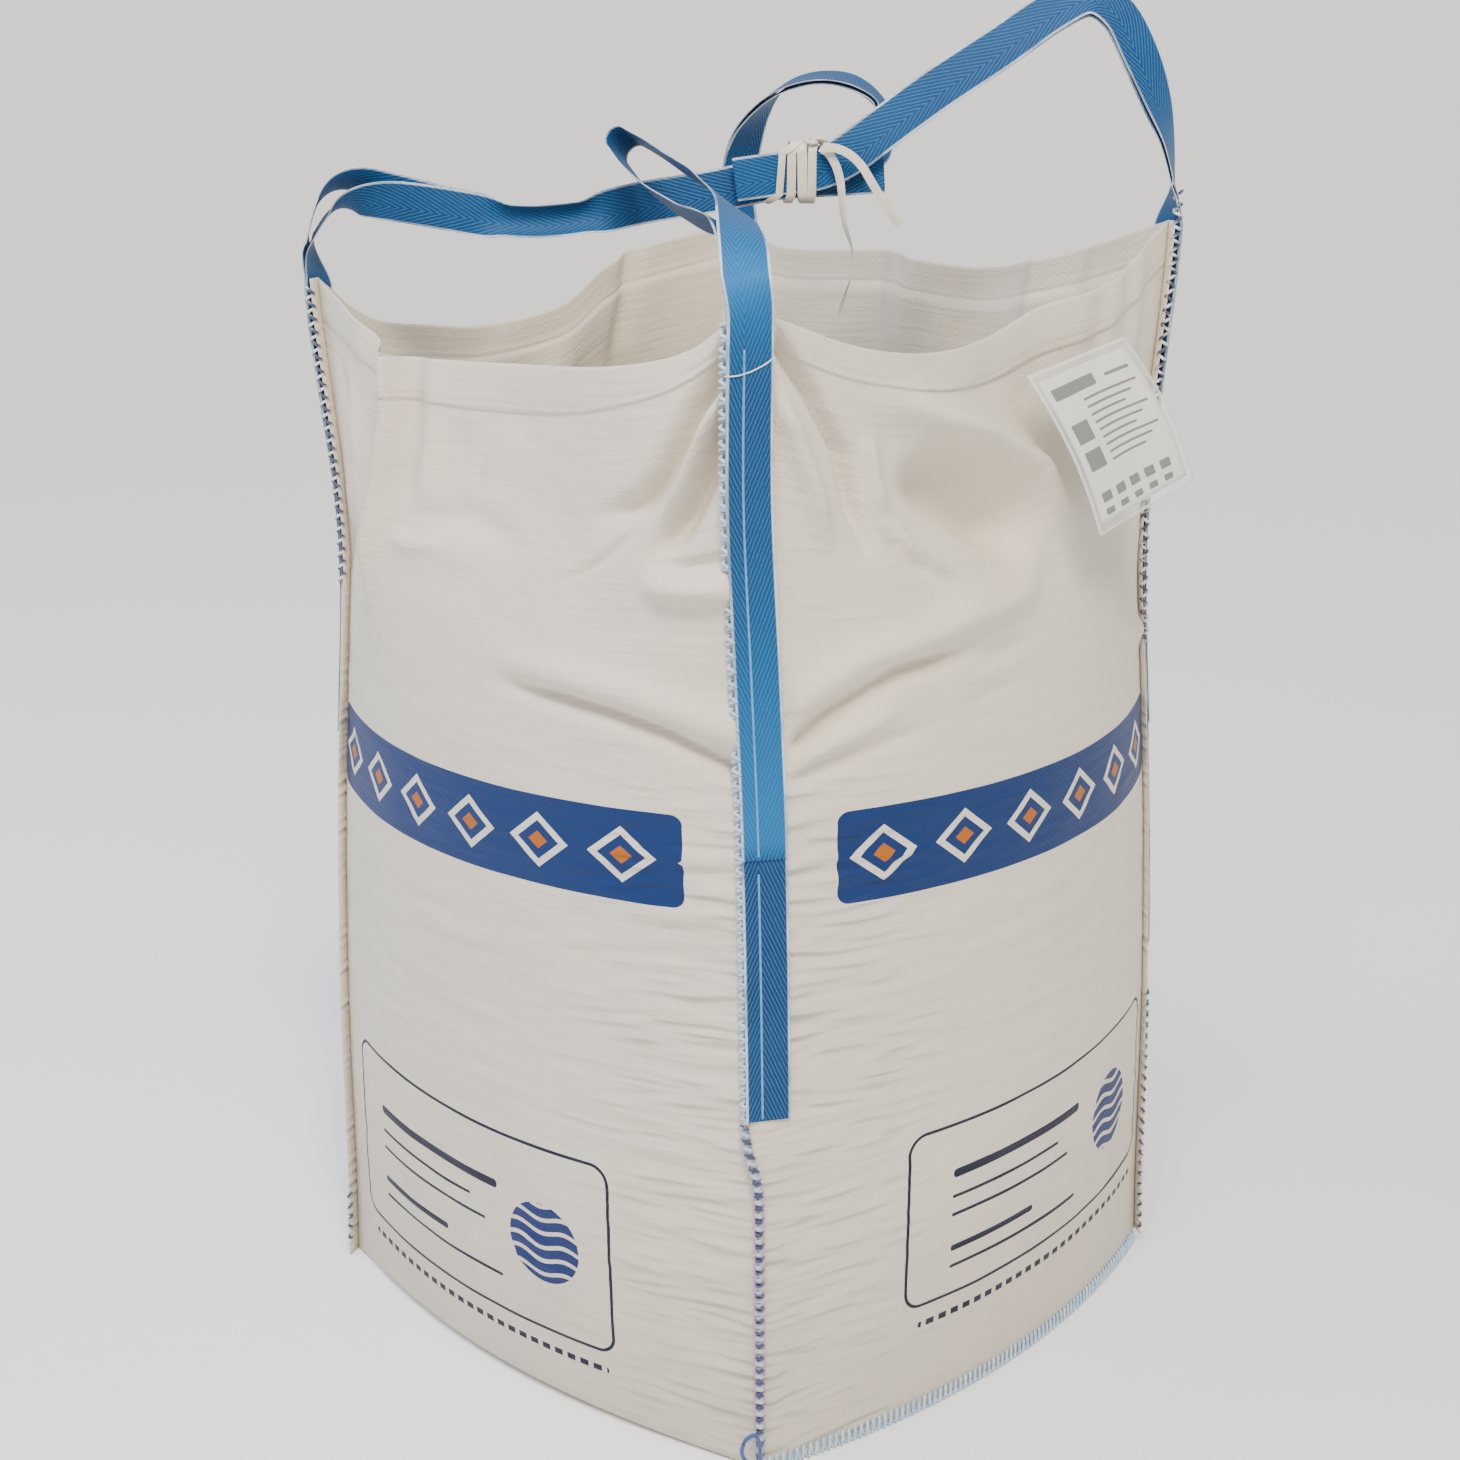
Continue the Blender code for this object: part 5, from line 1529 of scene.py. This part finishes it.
# %% Free ends of the tie
TAILS = {
    "tie_tail_long": [
        (.091, .0200, 1.446), (.101, .0235, 1.438), (.109, .0260, 1.424), (.1135, .0275, 1.408),
        (.1155, .0280, 1.392), (.117, .0280, 1.372), (.121, .0290, 1.352), (.127, .0300, 1.334),
        (.130, .0300, 1.316), (.127, .0300, 1.298), (.122, .0295, 1.282), (.1165, .0290, 1.266),
        (.113, .0290, 1.252)],
    "tie_tail_short": [
        (.093, .0320, 1.447), (.110, .0330, 1.445), (.126, .0345, 1.437), (.139, .0360, 1.424),
        (.149, .0370, 1.408), (.159, .0375, 1.392), (.171, .0380, 1.374), (.183, .0380, 1.358)],
}
TAIL_FACING = (.25, 1.0)
TAIL_TWIST = {"tie_tail_long": (0.0, 2.6), "tie_tail_short": (0.0, .35)}      # radians, from and to


def build_tail(name):
    points = smooth_line([spot(*point) for point in TAILS[name]], 4)
    start, stop = TAIL_TWIST[name]
    ahead = ways_ahead(points)
    front = square(ahead, np.broadcast_to(unit(spot(*TAIL_FACING, 0.0)), ahead.shape))
    angle = np.linspace(start, stop, len(points))[:, None]
    ways = front * np.cos(angle) + np.cross(ahead, front) * np.sin(angle)
    piece_name = name.replace("tail", "end")
    mesh = mesh_of(piece_name, *tape(points, ways, TAPE_WIDTH), sharp=TAPE_CREASE)
    piece = new_piece(piece_name, mesh, [tape_white], name)
    length = float(np.linalg.norm(np.diff(points, axis=0), axis=1).sum())
    return length


print("free ends of the tie:", {name: round(build_tail(name), 3) for name in TAILS}, "m long")

# %% Knot of the tie
# A closed trefoil is the shape of an overhand knot with its ends left out.
KNOT = (.0855, .012, 1.4535)
KNOT_SIZE = (.0040, .0034, .0026)       # along the bundle, across it, up
KNOT_CORD = 0.0027


def build_knot():
    turn = np.linspace(0, 2 * pi, 97)[:-1]
    across = (np.sin(turn) + 2 * np.sin(2 * turn)) * KNOT_SIZE[0]
    toward = (np.cos(turn) - 2 * np.cos(2 * turn)) * KNOT_SIZE[1]
    up = -np.sin(3 * turn) * KNOT_SIZE[2]
    path = spot(KNOT[0] + across, KNOT[1] + toward, KNOT[2] + up)
    return build_threads("tie_knot", [path], tape_white, "tie_tape",
                         radius=KNOT_CORD, sides=8, closed=True)


build_knot()
print("knot at", np.round(spot(*KNOT), 3))

# %% [markdown]
# ## Document sleeve
# A clear film sleeve hangs from the hem of the right wall, with a printed card in it. One sheet with
# both looks would show no depth, so there are two: the card, and over it a slightly larger film,
# glossy and nearly clear, with a welded border. Both are grids between four corners that bow a
# little. The card is generic: a bar, two plain squares and ruled lines.

# %% Sleeve
SLEEVE_CORNERS = ((.408, .024, 1.212), (.436, .168, 1.245), (.512, .208, 1.084),
                  (.486, .064, 1.037))
SLEEVE_SIZE = (.143, .200)
SLEEVE_BOW, SLEEVE_WAVE = 0.010, 0.0028      # how far it bows out, and how deep its ripple is
SLEEVE_THICK = 0.0003
CARD_MARGIN = .055          # share of the sleeve around the card
CARD_BACK = 0.0009          # how far the card lies behind the film
CARD_CORNER = 0.0012        # radius of the marks' corners
WELD, WELD_ALPHA, FILM_ALPHA = 0.0035, .40, .12      # the welded border, and how the film covers


def sleeve_grid(margin, back, columns=20, rows=28):
    """Points of a sheet in the sleeve, and their places on it in metres."""
    corners = np.array(SLEEVE_CORNERS)
    s = np.linspace(margin, 1 - margin, columns + 1)[None, :, None]
    t = np.linspace(margin, 1 - margin, rows + 1)[:, None, None]
    start = corners[0] * (1 - t) + corners[3] * t
    stop = corners[1] * (1 - t) + corners[2] * t
    points = start * (1 - s) + stop * s
    bow = (SLEEVE_BOW * np.sin(pi * t)
           + SLEEVE_WAVE * np.sin(pi * t) * np.sin(2.4 * pi * s + .6))
    points = points + np.concatenate([bow - back, 0 * bow, 0 * bow], -1)
    uv = np.concatenate(np.broadcast_arrays(s * SLEEVE_SIZE[0], (1 - t) * SLEEVE_SIZE[1]), -1)
    return points, uv


print("sleeve:", SLEEVE_SIZE, "m")

# %% Card and film


def card_marks():
    """Generic marks: a bar, two squares, a short line, nine ruled lines and two rows of blocks."""
    wide, tall = SLEEVE_SIZE
    marks = [((.016, .108), (.040, .132)), ((.016, .074), (.040, .098)),
             ((.092, tall - .034), (wide - .018, tall - .030))]
    for row in range(9):
        low = .150 - .0095 * row
        marks.append(((.050, low), (wide - .018 - .012 * (row % 3), low + .0030)))
    for column in range(5):
        left = .018 + .022 * column
        marks += [((left, .034), (left + .014, .046)), ((left, .018), (left + .012, .026))]
    return [((.016, tall - .038), (.078, tall - .024), .002)] + [(*mark, CARD_CORNER)
                                                                for mark in marks]


def printed_card():
    """Printed paper card behind film: off-white and dull, with grey worn ink."""
    material, tree, shader = new_material("printed card", Roughness=.7)
    uv = add_node(tree, "UVMap", {})
    ink = filled_boxes(tree, uv, card_marks())
    smudge = add_node(tree, "TexNoise", {"Vector": uv, "Scale": 55.0, "Detail": 3.0})
    strength = add_node(tree, "Math", {0: ink, 1: smudge}, operation="MULTIPLY")
    strength = add_node(tree, "Math", {0: strength, 1: 3.2}, operation="MULTIPLY", use_clamp=True)
    colour = add_node(tree, "Mix", {0: strength, 6: linear("D8D8CE"), 7: linear("050604")},
                      **COLOURS)
    set_inputs(tree, shader, {"Base Color": colour})
    return material


def clear_film():
    """Clear polyethylene film: glossy, with soft crumples, and whiter where it is welded."""
    material, tree, shader = new_material("clear polyethylene film", Roughness=.14, IOR=1.5,
                                          Coat_Weight=.5, Coat_Roughness=.12,
                                          Base_Color=linear("F2F4F2"))
    uv = add_node(tree, "UVMap", {})
    crumple = add_node(tree, "TexNoise", {"Vector": uv, "Scale": 22.0, "Detail": 3.0})
    bump = add_node(tree, "Bump", {"Strength": .5, "Distance": .004, "Height": crumple})
    outline = box_distance(tree, uv, ((0, 0), SLEEVE_SIZE), .004)
    weld = add_node(tree, "Math", {0: outline, 1: -WELD}, operation="GREATER_THAN")
    cover = add_node(tree, "Math", {0: weld, 1: WELD_ALPHA, 2: FILM_ALPHA},
                     operation="MULTIPLY_ADD")
    set_inputs(tree, shader, {"Normal": bump, "Alpha": cover})
    return material


def build_sheet(name, margin, back, material, node=None):
    points, uv = sleeve_grid(margin, back)
    mesh = mesh_of(name, points, grid_faces(numbered(points), turned=True), uv)
    piece = new_piece(name, mesh, [material], node)
    thicken(piece, SLEEVE_THICK, inner_slot=0)
    return piece


card = build_sheet("sleeve_card", CARD_MARGIN, CARD_BACK, printed_card())
film = build_sheet("sleeve_film", 0.0, 0.0, clear_film(), "label_sleeve")
print("marks on the card:", len(card_marks()))

# %% [markdown]
# ## Small things
# A white thread is tied round the near webbing just under the rim, and a loose loop of the dark
# seam thread hangs out at the foot of the near seam. They are small, but they catch the eye in the
# photograph. Both are tubes of thread on a short path, made as the seams are.

# %% Thread ring and thread loop
RING_HEIGHT, RING_SLANT, RING_SAG = 1.262, 0.017, 0.005
RING_HALF, RING_DEEP, RING_IN = WEB_WIDTH / 2 + .0012, .0040, .0014      # its half width and depth
RING_STEPS, RING_THREAD = 40, .0008
LOOSE_THREAD = 0.0026
LOOSE_FROM = 0.010          # height on the seam where the loose loop starts
LOOSE_LOOP = [(0, .004, .012), (-.012, .010, .022), (-.020, .012, .038), (-.016, .012, .054),
              (-.006, .011, .060), (.000, .010, .050), (.001, .008, .030), (.002, .004, .010)]


def strap_ring():
    """A path round the near webbing, flat in front and behind, that sags a little."""
    middle, ahead, facing = sewn_leg("near", 0, OUTER_END)
    k = int(np.argmin(np.abs(middle[:, 2] - RING_HEIGHT)))
    centre, out = middle[k], facing[k]
    wide = np.cross(ahead[k], out)
    points = []
    for step in range(RING_STEPS):
        turn = 2 * pi * step / RING_STEPS
        side = np.sign(cos(turn)) * abs(cos(turn)) ** .4
        deep = RING_DEEP * sin(turn) * (.75 if sin(turn) > 0 else 1)
        lift = RING_SLANT * side * .5 - RING_SAG * (1 - side ** 2)
        point = centre + wide * RING_HALF * side + out * (deep - RING_IN)
        points.append(point + np.array((0, 0, lift)))
    return points


build_threads("thread_ring_near", [strap_ring()], thread_white, None,
              radius=RING_THREAD, closed=True)
foot = flange_point("near", "right", -1.0, np.array([LOOSE_FROM]))[0] * (1, 1, 0)
loose = smooth_line([spot(*point) + foot for point in LOOSE_LOOP], 6)
build_threads("loose_thread_near", [loose], thread_deep, "blue_webbing", radius=LOOSE_THREAD)
print("small threads made")

# %% [markdown]
# ## Floor, light and camera
# The bag stands on a plain pale floor under soft studio light: a broad soft sun, a lamp over the
# mouth that lights its inner side, a cooler fill from the left and a pale sky. The floor rises far
# away like a studio's curved backdrop, so that no horizon shows behind the bag.

# %% Floor
FLOOR_TURNS = 96            # corners of the round floor
FLOOR_DROP = 0.0005
# Radius and height of the floor's rings: flat, then rising far away
FLOOR_RINGS = [(4, 0), (10, 0), (20, 0), (30, .5), (40, 1.5), (55, 4), (75, 9), (100, 18)]

turns = np.linspace(0, 2 * pi, FLOOR_TURNS, endpoint=False)
rings = np.array([np.stack([radius * np.cos(turns), radius * np.sin(turns),
                            0 * turns + rise - FLOOR_DROP], -1) for radius, rise in FLOOR_RINGS])
index = numbered(rings)
faces = grid_faces(np.concatenate([index, index[:, :1]], 1), turned=True)
floor_mesh = mesh_of("studio_floor", rings, faces + [index[0].tolist()])
floor_mesh.materials.append(new_material("matt studio floor", Roughness=.9,
                                         Base_Color=linear("FDFDFC"))[0])
floor = bpy.data.objects.new("studio_floor", floor_mesh)
bpy.context.scene.collection.objects.link(floor)
print("floor:", 2 * FLOOR_RINGS[-1][0], "m wide")

# %% Lights
# Each light: name, kind, place, size or angle, power and colour
LIGHTS = [("key", "SUN", (2.4, -1.7, 4.6), radians(14), 2.2, "FFF6EA"),
          ("top", "AREA", (1.1, -1.3, 3.0), .8, 46.0, "FFF8EE"),
          ("fill", "AREA", (-2.3, -2.7, 3.7), 2.0, 110.0, "BFD6FF")]
LIT_POINT = Vector((0, 0, .8))
SKY, SKY_STRENGTH = linear("F3F5F8"), 0.80

for name, kind, place, size, power, colour in LIGHTS:
    light = bpy.data.lights.new(name, kind)
    setattr(light, "angle" if kind == "SUN" else "size", size)
    light.energy = power
    light.color = linear(colour)[:3]
    lamp = bpy.data.objects.new(name, light)
    lamp.location = place
    lamp.rotation_euler = (LIT_POINT - Vector(place)).to_track_quat("-Z", "Y").to_euler()
    bpy.context.scene.collection.objects.link(lamp)

world = bpy.data.worlds.new("pale sky")
world.use_nodes = True
set_inputs(world.node_tree, world.node_tree.nodes["Background"], {0: SKY, 1: SKY_STRENGTH})
bpy.context.scene.world = world
print("lights:", [light[0] for light in LIGHTS])

# %% Camera
CAMERA_PLACE = (1.965, -2.062, 1.585)
CAMERA_AZIMUTH, CAMERA_DOWN, CAMERA_ROLL = 44.01, 16.769, -0.336      # degrees
CAMERA_LENS, CAMERA_SENSOR = 57.75, 36      # millimetres


def camera_matrix():
    """The camera's place and axes from its azimuth, tilt and roll."""
    turn, down, roll = radians(CAMERA_AZIMUTH), radians(CAMERA_DOWN), radians(CAMERA_ROLL)
    back = Vector((sin(turn) * cos(down), -cos(turn) * cos(down), sin(down)))
    right = Vector((cos(turn), sin(turn), 0))
    up = back.cross(right)
    right, up = right * cos(roll) + up * sin(roll), up * cos(roll) - right * sin(roll)
    axes = Matrix((right, up, back)).transposed()
    return Matrix.Translation(CAMERA_PLACE) @ axes.to_4x4()


camera_data = bpy.data.cameras.new("camera")
camera_data.lens = CAMERA_LENS
camera_data.sensor_width = CAMERA_SENSOR
camera = bpy.data.objects.new("camera", camera_data)
bpy.context.scene.collection.objects.link(camera)
camera.matrix_world = camera_matrix()
bpy.context.scene.camera = camera
print("camera at", CAMERA_PLACE)
